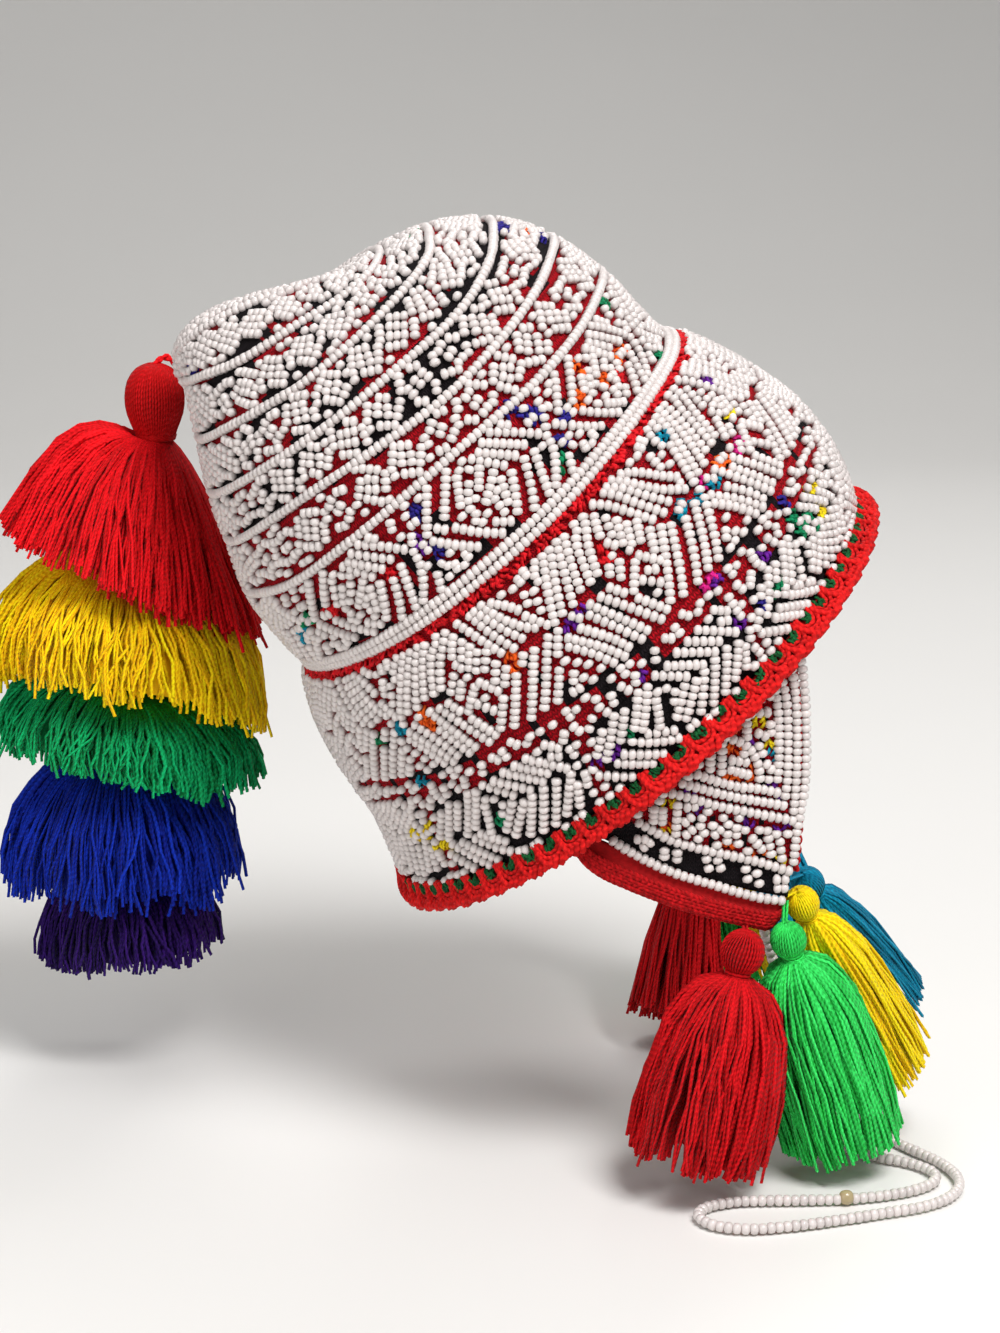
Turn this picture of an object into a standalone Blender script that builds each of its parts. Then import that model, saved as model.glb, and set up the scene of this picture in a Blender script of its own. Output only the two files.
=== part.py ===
"""A beaded, knitted chullo hat with ear flaps, yarn tassels and a bead chin strap.

The hat is tipped back as it is shown: +X is the wearer's front, +Y the wearer's left,
+Z is up. The origin is the middle of the opening, where a head holds the hat.
"""

import math
from collections import namedtuple

import bmesh
import bpy
from mathutils import Vector

MM = 0.001
GAP = 0.3
COLLECTION_NAME = "chullo_hat"

# Knitted walls
CROWN_WALL = 4.0
FLAP_WALL = 3.5
CROWN_SIDES = 32
CAVITY_TOP_ROW = 10
FACET_DEPTH = 90.0 * (1.0 - math.cos(math.pi / CROWN_SIDES))

# Crown sections, from the brim to the folded tip. Front and back are where a section
# crosses the middle plane, half_width is its reach to each side, dip pulls its sides
# down towards the brim, shift moves it to the far side, and roll turns it over the fold.
Section = namedtuple("Section", "name front_x front_z back_x back_z half_width dip shift roll")
CROWN_SECTIONS = (
    Section("brim", 63.4, 59.6, -71.7, -54.7, 80.0, 3.0, 0.0, 0.0),
    Section("lower_band", 57.5, 74.0, -79.5, -36.0, 81.5, 5.0, 0.0, 0.0),
    Section("middle_band", 46.5, 88.0, -89.0, -21.5, 80.5, 7.0, 0.0, 0.0),
    Section("upper_band", 30.0, 99.5, -96.3, -7.0, 76.5, 8.0, 0.0, 0.0),
    Section("below_double_line", 15.0, 107.0, -99.5, 4.0, 72.5, 8.5, 0.0, 0.0),
    Section("double_line", 6.8, 108.6, -100.4, 11.6, 70.0, 8.5, 0.0, 0.0),
    Section("shoulder", 0.0, 114.5, -106.0, 18.0, 67.5, 5.0, 0.0, 0.0),
    Section("line_five", -11.0, 126.0, -116.0, 31.3, 63.0, -1.0, 0.0, 0.0),
    Section("line_four", -27.1, 136.7, -121.6, 46.9, 57.0, -3.0, 0.0, 0.0),
    Section("line_three", -43.6, 141.0, -126.3, 60.6, 50.0, -3.0, 1.0, 0.0),
    Section("line_two", -61.6, 138.5, -129.8, 77.4, 42.0, 0.0, 3.0, 0.0),
    Section("line_one", -79.5, 129.0, -132.9, 92.5, 31.0, 0.0, 7.0, 4.0),
    Section("crest", -97.0, 115.5, -134.5, 99.5, 16.0, 0.0, 13.0, 40.0),
    Section("fold", -108.0, 105.5, -135.5, 94.0, 12.0, 0.0, 21.0, 85.0),
    Section("folded_tip", -118.0, 99.0, -133.0, 90.0, 8.0, 0.0, 30.0, 115.0),
    Section("tip_end", -126.5, 93.5, -132.0, 89.5, 3.2, 0.0, 36.5, 130.0),
)
TIP_ROW = len(CROWN_SECTIONS) - 1
CROWN_AXIS = Vector((-0.646, 0.0, 0.763))

# Crochet edging round the opening
TRIM_WIDTH = 8.0
TRIM_PROUD = 1.0
TRIM_SCALLOPS = 76
TRIM_SCALLOP_DEPTH = 1.3
TRIM_FLARE = 0.45
TRIM_SEAM = 1.5 * GAP
TRIM_LIP_THICKNESS = 2.0

# Ear flaps, in the middle of the near side. The base is given by its angles round the
# brim, and the lower edge by its two ends; side is the distance from the middle plane.
FLAP_BASE_FRONT = 57.0
FLAP_BASE_BACK = 112.0
FLAP_TUCK_ROW = 0.75
FLAP_COLUMNS = 12
FlapCorner = namedtuple("FlapCorner", "name x side z")
FLAP_CORNERS = (
    FlapCorner("tip", 33.0, 70.5, -44.5),
    FlapCorner("heel", -20.0, 70.5, -25.5),
)
FLAP_FRONT_BULGE = 3.0
BAND_WIDTH = 10.0
BAND_THICKNESS = 6.0
BAND_START = 0.03
BAND_END = 1.02
BAND_ROUNDING = 0.08
BAND_STEPS = 10
BAND_SIDES = 10
PIPING_DIAMETER = 2.4

# Tassels at the flap tips. The tie is where the yarn is knotted to the flap.
Tassel = namedtuple(
    "Tassel", "name tie_x tie_y tie_z head_x head_y head_z hem_x hem_y hem_z head_radius hem_radius"
)
TASSELS = (
    Tassel("near_red", 20.5, -71.5, -51.8, 18.5, -79.0, -57.5, 7.5, -82.0, -120.0, 5.6, 18.5),
    Tassel("near_green", 32.5, -69.5, -45.4, 33.0, -74.0, -56.5, 49.5, -68.5, -120.5, 5.2, 15.5),
    Tassel("near_yellow", 32.6, -66.4, -45.3, 39.0, -61.0, -49.0, 71.0, -43.0, -110.0, 5.0, 13.0),
    Tassel("near_blue", 31.5, -65.5, -41.5, 45.5, -47.0, -47.5, 80.0, -13.0, -98.0, 4.8, 10.0),
    Tassel("far_red", 20.5, 68.0, -52.6, 21.0, 64.0, -59.0, 14.0, 33.0, -120.0, 5.6, 13.0),
    Tassel("far_green", 32.5, 69.5, -45.4, 33.5, 74.0, -56.5, 46.0, 76.0, -120.0, 5.2, 15.0),
    Tassel("far_yellow", 32.6, 66.4, -45.3, 39.0, 61.0, -49.0, 64.0, 52.0, -110.0, 5.0, 12.0),
    Tassel("far_blue", 31.5, 65.5, -41.5, 45.0, 47.0, -47.5, 62.0, 22.0, -98.0, 4.8, 10.0),
)
TASSEL_FINISHES = {
    "red": "red_wool",
    "green": "bright_green_wool",
    "yellow": "yellow_wool",
    "blue": "light_blue_wool",
}
TASSEL_LOCKS = 8
TASSEL_LOCK_DEPTH = 0.09
TASSEL_TIE_RADIUS = 0.9
# The head's rows lie at distances from its middle, towards the tie, in head radii.
# The skirt's rows lie at parts of its length, with radii in parts of the hem's.
HeadRow = namedtuple("HeadRow", "distance radius")
HEAD_ROWS = (
    HeadRow(0.9, 0.6),
    HeadRow(0.3, 0.98),
)
SkirtRow = namedtuple("SkirtRow", "part radius lock")
SKIRT_ROWS = (
    SkirtRow(0.07, 0.5, 0.4),
    SkirtRow(0.25, 0.7, 0.7),
    SkirtRow(0.6, 0.9, 1.0),
    SkirtRow(0.96, 1.0, 1.0),
    SkirtRow(1.0, 0.8, 1.0),
)
NECK_PART = 0.12
NECK_RADIUS = 0.62

# Large tassel at the peak, of five tiers on one upright core
PEAK_X = -150.5
PEAK_Y = 48.0
PEAK_SIDES = 24
PEAK_LOCKS = 12
PEAK_LOCK_DEPTH = 0.05
PEAK_HEAD_X = -142.0
PEAK_HEAD_Y = 47.0
PeakHeadRow = namedtuple("PeakHeadRow", "height radius")
PEAK_HEAD_ROWS = (
    PeakHeadRow(94.0, 2.0),
    PeakHeadRow(92.5, 5.5),
    PeakHeadRow(89.0, 8.2),
    PeakHeadRow(84.0, 9.2),
    PeakHeadRow(79.0, 8.6),
    PeakHeadRow(74.0, 6.6),
    PeakHeadRow(71.3, 5.8),
)
PEAK_CORD_DIAMETER = 2.4
Tier = namedtuple("Tier", "name top hem neck_radius shoulder_radius hem_radius lean")
TIERS = (
    Tier("red", 71.0, 20.0, 6.5, 26.0, 37.5, 7.0),
    Tier("yellow", 27.0, -16.0, 17.0, 33.0, 42.0, 0.0),
    Tier("green", -9.0, -37.5, 17.0, 34.0, 41.5, 0.0),
    Tier("blue", -30.5, -76.0, 17.0, 31.0, 35.5, 0.0),
    Tier("purple", -69.0, -95.5, 17.0, 25.0, 28.5, 0.0),
)
# Rows of one tier: how far down it lies, how much of the shoulder's and the hem's radius
# it takes, how deep the locks are, and a small lift and inset that round the hem.
TierRow = namedtuple("TierRow", "drop shoulder hem lock lift inset")
TIER_ROWS = (
    TierRow(0.0, 0.0, 0.0, 0.0, 0.0, 0.0),
    TierRow(0.1, 0.55, 0.0, 0.3, 0.0, 0.0),
    TierRow(0.26, 1.0, 0.0, 0.8, 0.0, 0.0),
    TierRow(0.6, 0.5, 0.5, 1.0, 0.0, 0.0),
    TierRow(1.0, 0.0, 1.0, 1.0, 2.0, 0.0),
    TierRow(1.0, 0.0, 1.0, 1.0, 0.0, -2.0),
)
TIER_RECESS = 7.3
TIER_CORE_RADIUS = 20.0

# Chin strap: a string of beads from flap tip to flap tip, lying in a long loop
STRAP_DIAMETER = 3.2
STRAP_POINT_SPACING = 7.5
FLOOR_Z = -126.5
STRAP_Z = FLOOR_Z + STRAP_DIAMETER / 2
KNOT_LENGTH = 4.0
KNOT_DIAMETER = 4.2
KNOT_SIDES = 10
KnotRow = namedtuple("KnotRow", "part radius")
KNOT_ROWS = (
    KnotRow(-0.5, 0.5),
    KnotRow(-0.38, 0.85),
    KnotRow(0.0, 1.0),
    KnotRow(0.38, 0.85),
    KnotRow(0.5, 0.5),
)
STRAP_NEAR_ROUTE = (
    (26.0, -64.3, -48.5), (26.6, -62.4, -52.0), (29.0, -61.0, -60.0), (32.3, -59.0, -70.0),
    (36.5, -56.0, -83.0), (43.0, -51.5, -100.0),
    (53.0, -49.0, -115.0), (61.0, -49.0, -122.5), (67.5, -52.5, STRAP_Z),
    (73.0, -62.0, STRAP_Z), (78.5, -72.0, STRAP_Z), (81.0, -82.0, STRAP_Z),
    (79.5, -91.0, STRAP_Z), (74.0, -98.5, STRAP_Z), (65.5, -103.5, STRAP_Z),
    (55.0, -106.3, STRAP_Z), (42.5, -109.5, STRAP_Z), (29.0, -112.3, STRAP_Z),
    (15.5, -113.3, STRAP_Z), (6.5, -110.0, STRAP_Z), (3.0, -103.5, STRAP_Z),
    (6.5, -97.3, STRAP_Z), (16.5, -94.3, STRAP_Z), (32.0, -95.2, STRAP_Z),
    (43.5, -95.9, STRAP_Z),
)
STRAP_FAR_ROUTE = (
    (48.7, -95.7, STRAP_Z), (58.0, -94.3, STRAP_Z), (67.5, -91.0, STRAP_Z),
    (73.6, -86.0, STRAP_Z), (75.0, -79.5, STRAP_Z), (70.5, -72.5, STRAP_Z),
    (62.0, -66.5, STRAP_Z), (53.0, -58.0, STRAP_Z), (44.5, -44.0, STRAP_Z),
    (37.0, -25.0, STRAP_Z), (32.5, -5.0, STRAP_Z), (30.5, 14.0, STRAP_Z),
    (32.0, 29.0, STRAP_Z), (33.0, 40.5, -121.0), (33.0, 48.0, -110.0),
    (32.5, 53.5, -93.0), (31.5, 56.5, -74.0), (29.0, 59.5, -60.0), (26.6, 62.0, -52.0),
    (26.0, 64.3, -48.5),
)

# Colours and finishes
Finish = namedtuple("Finish", "red green blue roughness")
FINISHES = {
    "beadwork": Finish(0.78, 0.74, 0.71, 0.35),
    "red_crochet": Finish(0.60, 0.015, 0.02, 0.85),
    "red_wool": Finish(0.56, 0.005, 0.012, 0.85),
    "yellow_wool": Finish(0.90, 0.62, 0.0, 0.85),
    "green_wool": Finish(0.0, 0.21, 0.06, 0.85),
    "bright_green_wool": Finish(0.02, 0.62, 0.09, 0.85),
    "blue_wool": Finish(0.003, 0.02, 0.30, 0.85),
    "light_blue_wool": Finish(0.0, 0.28, 0.48, 0.85),
    "purple_wool": Finish(0.045, 0.004, 0.15, 0.85),
    "white_beads": Finish(0.80, 0.76, 0.73, 0.3),
    "tan_bead": Finish(0.50, 0.38, 0.20, 0.3),
}


def clear_scene():
    """Remove every object that the file starts with."""
    for item in list(bpy.data.objects):
        bpy.data.objects.remove(item, do_unlink=True)


def make_material(name):
    """A Principled material from the table of finishes."""
    finish = FINISHES[name]
    material = bpy.data.materials.get(name)
    if material is None:
        material = bpy.data.materials.new(name)
        material.use_nodes = True
        shader = material.node_tree.nodes["Principled BSDF"]
        shader.inputs["Base Color"].default_value = (finish.red, finish.green, finish.blue, 1.0)
        shader.inputs["Roughness"].default_value = finish.roughness
        shader.inputs["Metallic"].default_value = 0.0
    return material


def add_object(name, mesh, finish, collection):
    """Link a mesh as a named sub-part with its own material."""
    item = bpy.data.objects.new(name, mesh)
    collection.objects.link(item)
    mesh.materials.clear()
    mesh.materials.append(make_material(finish))
    return item


def spline_value(values, place):
    """Value of a smooth curve through evenly spaced values, at a fractional row."""
    last = len(values) - 1
    row = min(max(int(math.floor(place)), 0), last - 1)
    t = place - row
    before = values[row - 1] if row > 0 else 2 * values[0] - values[1]
    start = values[row]
    end = values[row + 1]
    after = values[row + 2] if row + 2 <= last else 2 * values[last] - values[last - 1]
    return 0.5 * (
        2 * start
        + (end - before) * t
        + (2 * before - 5 * start + 4 * end - after) * t * t
        + (3 * start - before - 3 * end + after) * t ** 3
    )


def section_at(place):
    """Crown section at a fractional row of the table."""
    columns = Section._fields[1:]
    values = [spline_value([getattr(row, column) for row in CROWN_SECTIONS], place) for column in columns]
    return Section("between", *values)


def crown_point(place, angle, inset=0.0):
    """Point of the crown's outside; inset moves it into the wall. Angle 0 is the front."""
    section = section_at(place)
    front = Vector((section.front_x, section.shift, section.front_z))
    back = Vector((section.back_x, section.shift, section.back_z))
    centre = (front + back) / 2
    half_chord = (front - back) / 2
    along = half_chord.normalized()
    half_length = half_chord.length - inset
    half_width = section.half_width - inset
    roll = math.radians(section.roll)
    upward = (CROWN_AXIS - CROWN_AXIS.dot(along) * along).normalized()
    sideways = Vector((0.0, -math.cos(roll), 0.0)) + math.sin(roll) * upward
    dip = -section.dip * math.sin(angle) ** 2
    return (
        centre
        + math.cos(angle) * half_length * along
        + math.sin(angle) * half_width * sideways
        + dip * upward
    )


def crown_ring(place, inset=0.0, sides=CROWN_SIDES):
    """Closed ring of points round the crown."""
    return [crown_point(place, 2 * math.pi * side / sides, inset) for side in range(sides)]


def mesh_from_rings(name, rings, cap_ends=True, close_rings=False):
    """Mesh through rings of equal length, in millimetres, with capped or joined ends."""
    shape = bmesh.new()
    grid = [[shape.verts.new(point * MM) for point in ring] for ring in rings]
    sides = len(rings[0])
    spans = len(rings) if close_rings else len(rings) - 1
    for row in range(spans):
        lower = grid[row]
        upper = grid[(row + 1) % len(rings)]
        for side in range(sides):
            following = (side + 1) % sides
            shape.faces.new((lower[side], lower[following], upper[following], upper[side]))
    if cap_ends:
        for ring in (grid[0], grid[-1]):
            middle = sum((vertex.co for vertex in ring), Vector()) / sides
            hub = shape.verts.new(middle)
            for side in range(sides):
                shape.faces.new((ring[side], ring[(side + 1) % sides], hub))
    bmesh.ops.recalc_face_normals(shape, faces=shape.faces[:])
    if shape.calc_volume(signed=True) < 0:
        bmesh.ops.reverse_faces(shape, faces=shape.faces[:])
    mesh = bpy.data.meshes.new(name)
    shape.to_mesh(mesh)
    shape.free()
    mesh.shade_smooth()
    mesh.set_sharp_from_angle(angle=math.radians(40))
    return mesh


def make_crown(collection):
    """Hollow crown: the outside from tip to brim, then the inside back up to its top."""
    half_rows = 2 * TIP_ROW
    rings = [crown_ring(TIP_ROW * (1.0 - step / half_rows)) for step in range(half_rows + 1)]
    rings += [crown_ring(place, CROWN_WALL) for place in range(CAVITY_TOP_ROW + 1)]
    add_object("crown", mesh_from_rings("crown", rings), "beadwork", collection)


def brim_frame(angle):
    """Edge point of the brim, the way out across its rim and the way down from it."""
    edge = crown_point(0.0, angle)
    outward = (edge - crown_point(0.0, angle, CROWN_WALL)).normalized()
    around = crown_point(0.0, angle + 0.02) - crown_point(0.0, angle - 0.02)
    down = outward.cross(around).normalized()
    if down.dot(CROWN_AXIS) > 0:
        down = -down
    return edge, outward, down


def make_brim_trim(collection):
    """Scalloped edging that continues the wall past the brim and flares out a little."""
    steps = 2 * TRIM_SCALLOPS
    rings = []
    for step in range(steps):
        angle = 2 * math.pi * step / steps
        edge, outward, down = brim_frame(angle)
        lip = TRIM_WIDTH + (TRIM_SCALLOP_DEPTH if step % 2 else -TRIM_SCALLOP_DEPTH)
        flare = (down + TRIM_FLARE * outward).normalized()
        root = edge + TRIM_SEAM * down
        middle = root + lip / 2 * flare
        end = root + lip * flare - TRIM_PROUD * outward
        rings.append([
            root - CROWN_WALL * outward,
            root + TRIM_PROUD * outward,
            middle + TRIM_PROUD * outward,
            end,
            end - TRIM_LIP_THICKNESS * outward,
            middle - CROWN_WALL * outward,
        ])
    mesh = mesh_from_rings("brim_trim", rings, cap_ends=False, close_rings=True)
    add_object("brim_trim", mesh, "red_crochet", collection)


def side_sign(side):
    """The near side is -Y."""
    return -1.0 if side == "near" else 1.0


def flap_base_point(across, place, inset):
    """Point on the inside of the crown; across runs 0 at the front to 1 at the back."""
    angle = math.radians(FLAP_BASE_FRONT + (FLAP_BASE_BACK - FLAP_BASE_FRONT) * across)
    return crown_point(place, angle, inset)


def flap_edge_point(across):
    """Point of the flap's lower edge, on the near side."""
    tip, heel = FLAP_CORNERS
    start = Vector((tip.x, -tip.side, tip.z))
    end = Vector((heel.x, -heel.side, heel.z))
    sag = Vector((0.0, 0.0, -2.2 * math.sin(math.pi * across)))
    return start.lerp(end, across) + sag


def flap_rows(across):
    """Points of one column of the flap, from its tucked top to its lower edge."""
    inset = CROWN_WALL + FACET_DEPTH + 2 * GAP
    base = flap_base_point(across, 0.0, inset)
    edge = flap_edge_point(across)
    column = [flap_base_point(across, FLAP_TUCK_ROW * part, inset) for part in (1.0, 0.5)]
    for part in (0.0, 0.25, 0.5, 0.75, 1.0):
        bulge = FLAP_FRONT_BULGE * (1.0 - across) * math.sin(math.pi * part)
        column.append(base.lerp(edge, part) + Vector((bulge, 0.0, 0.0)))
    return column


def make_flap(side, collection):
    """Knitted flap: a curved sheet with a thickness, tucked up inside the crown."""
    sign = side_sign(side)
    shape = bmesh.new()
    grid = []
    for column in range(FLAP_COLUMNS + 1):
        points = flap_rows(column / FLAP_COLUMNS)
        grid.append([shape.verts.new((p.x * MM, -sign * p.y * MM, p.z * MM)) for p in points])
    for column in range(FLAP_COLUMNS):
        for row in range(len(grid[0]) - 1):
            corners = [grid[column][row], grid[column + 1][row],
                       grid[column + 1][row + 1], grid[column][row + 1]]
            shape.faces.new(corners)
    shape.normal_update()
    outward_sum = sum(face.normal.y for face in shape.faces) * sign
    if outward_sum < 0:
        bmesh.ops.reverse_faces(shape, faces=shape.faces[:])
    mesh = bpy.data.meshes.new(f"{side}_ear_flap")
    shape.to_mesh(mesh)
    shape.free()
    item = add_object(f"{side}_ear_flap", mesh, "beadwork", collection)
    wall = item.modifiers.new("wall", "SOLIDIFY")
    wall.thickness = FLAP_WALL * MM
    wall.offset = -1.0


def make_flap_band(side, collection):
    """Thick braided band along the flap's lower edge, rounded at both ends."""
    sign = side_sign(side)
    along = (flap_edge_point(1.0) - flap_edge_point(0.0)).normalized()
    inward = Vector((0.0, 1.0, 0.0))
    below = along.cross(inward).normalized()
    rings = []
    for step in range(BAND_STEPS + 1):
        spread = (1.0 - math.cos(math.pi * step / BAND_STEPS)) / 2
        station = BAND_START + (BAND_END - BAND_START) * spread
        to_end = min(station - BAND_START, BAND_END - station) / BAND_ROUNDING
        size = max(0.35, math.sqrt(1.0 - max(0.0, 1.0 - to_end) ** 2))
        centre = flap_edge_point(station) + (2 * GAP + BAND_WIDTH / 2) * below + FLAP_WALL / 2 * inward
        ring = []
        for corner in range(BAND_SIDES):
            turn = 2 * math.pi * corner / BAND_SIDES
            ring.append(
                centre
                + size * BAND_WIDTH / 2 * math.cos(turn) * below
                + size * BAND_THICKNESS / 2 * math.sin(turn) * inward
            )
        rings.append([Vector((p.x, -sign * p.y, p.z)) for p in ring])
    mesh = mesh_from_rings(f"{side}_flap_band", rings)
    add_object(f"{side}_flap_band", mesh, "red_crochet", collection)


def smooth_route(points, spacing):
    """Evenly spaced points on the smooth curve through a route."""
    columns = [[point[axis] for point in points] for axis in range(3)]
    dense = []
    steps = 24 * (len(points) - 1)
    for step in range(steps + 1):
        place = step * (len(points) - 1) / steps
        dense.append(Vector([spline_value(column, place) for column in columns]))
    lengths = [0.0]
    for start, end in zip(dense, dense[1:]):
        lengths.append(lengths[-1] + (end - start).length)
    count = max(2, round(lengths[-1] / spacing))
    route = []
    index = 0
    for step in range(count + 1):
        target = lengths[-1] * step / count
        while index < len(lengths) - 2 and lengths[index + 1] < target:
            index += 1
        part = (target - lengths[index]) / (lengths[index + 1] - lengths[index])
        route.append(dense[index].lerp(dense[index + 1], min(part, 1.0)))
    return route


def make_tube(name, points, diameter, finish, collection):
    """Closed tube along a route, as a bevelled curve with filled caps."""
    curve = bpy.data.curves.new(name, "CURVE")
    curve.dimensions = "3D"
    curve.bevel_depth = diameter / 2 * MM
    curve.bevel_resolution = 2
    curve.use_fill_caps = True
    spline = curve.splines.new("POLY")
    spline.points.add(len(points) - 1)
    for control, point in zip(spline.points, points):
        control.co = (point.x * MM, point.y * MM, point.z * MM, 1.0)
    item = bpy.data.objects.new(name, curve)
    collection.objects.link(item)
    curve.materials.append(make_material(finish))


def make_flap_piping(side, collection):
    """Thin cord along the flap's front edge, from inside the brim to above the tip."""
    sign = side_sign(side)
    radius = PIPING_DIAMETER / 2
    ahead = Vector((radius + GAP, 0.0, 0.0))
    inward = Vector((0.0, FLAP_WALL / 2, 0.0))
    base, *edge = flap_rows(0.0)[2:]
    points = [base.lerp(edge[0], 0.2), *edge[:-1], edge[-2].lerp(edge[-1], 0.8)]
    points = [point + ahead + inward for point in points]
    points = [Vector((p.x, -sign * p.y, p.z)) for p in points]
    make_tube(f"{side}_flap_piping", points, PIPING_DIAMETER, "red_crochet", collection)


def lock_wave(angle, locks, depth):
    """Radius factor of a skirt that is parted into locks."""
    return 1.0 + depth * math.cos(locks * angle)


def make_flap_tassel(row, collection):
    """Tassel: a tie, a wound head, a neck and a skirt in locks, on one bent axis."""
    tie = Vector((row.tie_x, row.tie_y, row.tie_z))
    head = Vector((row.head_x, row.head_y, row.head_z))
    hem = Vector((row.hem_x, row.hem_y, row.hem_z))
    neck = head.lerp(hem, NECK_PART) + Vector((0.0, 0.0, -1.0))
    reach = row.head_radius / (head - tie).length
    places = [(tie, TASSEL_TIE_RADIUS, 0.0)]
    places.append((tie.lerp(head, max(0.1, 1.0 - 1.3 * reach)), TASSEL_TIE_RADIUS * 1.1, 0.0))
    for place in HEAD_ROWS:
        part = max(0.3, 1.0 - place.distance * reach)
        places.append((tie.lerp(head, part), row.head_radius * place.radius, 0.0))
    places.append((head.lerp(neck, 0.35), row.head_radius * 0.95, 0.0))
    places.append((neck, row.head_radius * NECK_RADIUS, 0.0))
    for place in SKIRT_ROWS:
        places.append((neck.lerp(hem, place.part), row.hem_radius * place.radius, place.lock))
    across = (hem - neck).normalized()
    first = across.cross(Vector((0.0, 1.0, 0.0))).normalized()
    second = across.cross(first).normalized()
    sides = 2 * TASSEL_LOCKS
    rings = []
    for centre, full_radius, lock in places:
        ring = []
        for side in range(sides):
            angle = 2 * math.pi * side / sides
            radius = full_radius * lock_wave(angle, TASSEL_LOCKS, TASSEL_LOCK_DEPTH * lock)
            ring.append(centre + radius * (math.cos(angle) * first + math.sin(angle) * second))
        rings.append(ring)
    name = f"{row.name}_tassel"
    finish = TASSEL_FINISHES[row.name.split("_")[1]]
    add_object(name, mesh_from_rings(name, rings), finish, collection)


def upright_ring(centre_x, centre_y, height, radius, lock=0.0):
    """Level ring of the large tassel."""
    ring = []
    for side in range(PEAK_SIDES):
        angle = 2 * math.pi * side / PEAK_SIDES
        reach = radius * lock_wave(angle, PEAK_LOCKS, lock)
        ring.append(Vector((
            centre_x + reach * math.cos(angle),
            centre_y + reach * math.sin(angle),
            height,
        )))
    return ring


def make_peak_head(collection):
    """Wound bulb over the red tier."""
    rings = [upright_ring(PEAK_HEAD_X, PEAK_HEAD_Y, row.height, row.radius) for row in PEAK_HEAD_ROWS]
    add_object("peak_head", mesh_from_rings("peak_head", rings), "red_wool", collection)


def make_tier(row, last, collection):
    """One skirt of the large tassel; its recessed underside holds the tier below."""
    rings = []
    for place in TIER_ROWS:
        height = row.top + (row.hem - row.top) * place.drop + place.lift
        wide = row.hem_radius * place.hem + row.shoulder_radius * place.shoulder
        radius = wide + row.neck_radius * (1.0 - place.hem - place.shoulder) + place.inset
        offset = row.lean * (1.0 - place.drop)
        rings.append(upright_ring(PEAK_X + offset, PEAK_Y, height, radius, PEAK_LOCK_DEPTH * place.lock))
    if not last:
        rings.append(upright_ring(PEAK_X, PEAK_Y, row.hem + TIER_RECESS, TIER_CORE_RADIUS))
    name = f"peak_{row.name}_skirt"
    add_object(name, mesh_from_rings(name, rings), f"{row.name}_wool", collection)


def make_peak_cord(collection):
    """Short cord from the folded tip to the top of the large tassel."""
    tip = (crown_point(TIP_ROW, 0.0) + crown_point(TIP_ROW, math.pi)) / 2
    ahead = (crown_point(TIP_ROW, 0.0) - tip).cross(crown_point(TIP_ROW, math.pi / 2) - tip).normalized()
    if ahead.dot(tip - crown_point(TIP_ROW - 1, 0.0)) < 0:
        ahead = -ahead
    start = tip + 2 * GAP * ahead
    landing = Vector((PEAK_HEAD_X, PEAK_HEAD_Y, PEAK_HEAD_ROWS[0].height + GAP + PEAK_CORD_DIAMETER / 2))
    bend = start + 3.0 * ahead
    route = (start, start + 1.5 * ahead, bend, bend.lerp(landing, 0.5) + Vector((1.0, 2.0, 0.0)),
             landing + Vector((4.0, 0.5, 0.5)), landing)
    make_tube("peak_cord", smooth_route(route, 2.0), PEAK_CORD_DIAMETER, "red_wool", collection)


def make_chin_strap(collection):
    """Two runs of the bead string, meeting at the small knot bead."""
    near = smooth_route(STRAP_NEAR_ROUTE, STRAP_POINT_SPACING)
    far = smooth_route(STRAP_FAR_ROUTE, STRAP_POINT_SPACING)
    make_tube("chin_strap_near", near, STRAP_DIAMETER, "white_beads", collection)
    make_tube("chin_strap_far", far, STRAP_DIAMETER, "white_beads", collection)
    start = Vector(STRAP_NEAR_ROUTE[-1])
    end = Vector(STRAP_FAR_ROUTE[0])
    along = (end - start).normalized()
    middle = (start + end) / 2 + Vector((0.0, 0.0, (KNOT_DIAMETER - STRAP_DIAMETER) / 2))
    first = along.cross(Vector((0.0, 0.0, 1.0))).normalized()
    second = along.cross(first)
    rings = []
    for row in KNOT_ROWS:
        centre = middle + row.part * KNOT_LENGTH * along
        ring = []
        for side in range(KNOT_SIDES):
            turn = 2 * math.pi * side / KNOT_SIDES
            reach = row.radius * KNOT_DIAMETER / 2
            ring.append(centre + reach * (math.cos(turn) * first + math.sin(turn) * second))
        rings.append(ring)
    add_object("strap_knot", mesh_from_rings("strap_knot", rings), "tan_bead", collection)


def main():
    """Build every sub-part into one collection."""
    clear_scene()
    collection = bpy.data.collections.new(COLLECTION_NAME)
    bpy.context.scene.collection.children.link(collection)
    make_crown(collection)
    make_brim_trim(collection)
    for side in ("near", "far"):
        make_flap(side, collection)
        make_flap_band(side, collection)
        make_flap_piping(side, collection)
    for row in TASSELS:
        make_flap_tassel(row, collection)
    make_peak_cord(collection)
    make_peak_head(collection)
    for row in TIERS:
        make_tier(row, row is TIERS[-1], collection)
    make_chin_strap(collection)


main()
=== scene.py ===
"""Looks of a beaded, knitted chullo hat with ear flaps, yarn tassels and a bead chin strap.

Shapes are worked out in millimetres and made in metres, in the hat's own frame: +X is the
wearer's front, +Y the wearer's left, +Z is up, and the middle of the opening is the origin.
The near side is -Y. Rows count up the crown from the brim, and angles run in degrees from
the front, round the near side, to the back.
"""

import itertools
import math
import random
from collections import namedtuple

import bmesh
import bpy
from bpy.props import FloatProperty, FloatVectorProperty, IntProperty, PointerProperty
from bpy.types import Operator, Panel, PropertyGroup
from mathutils import Matrix, Vector


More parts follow.
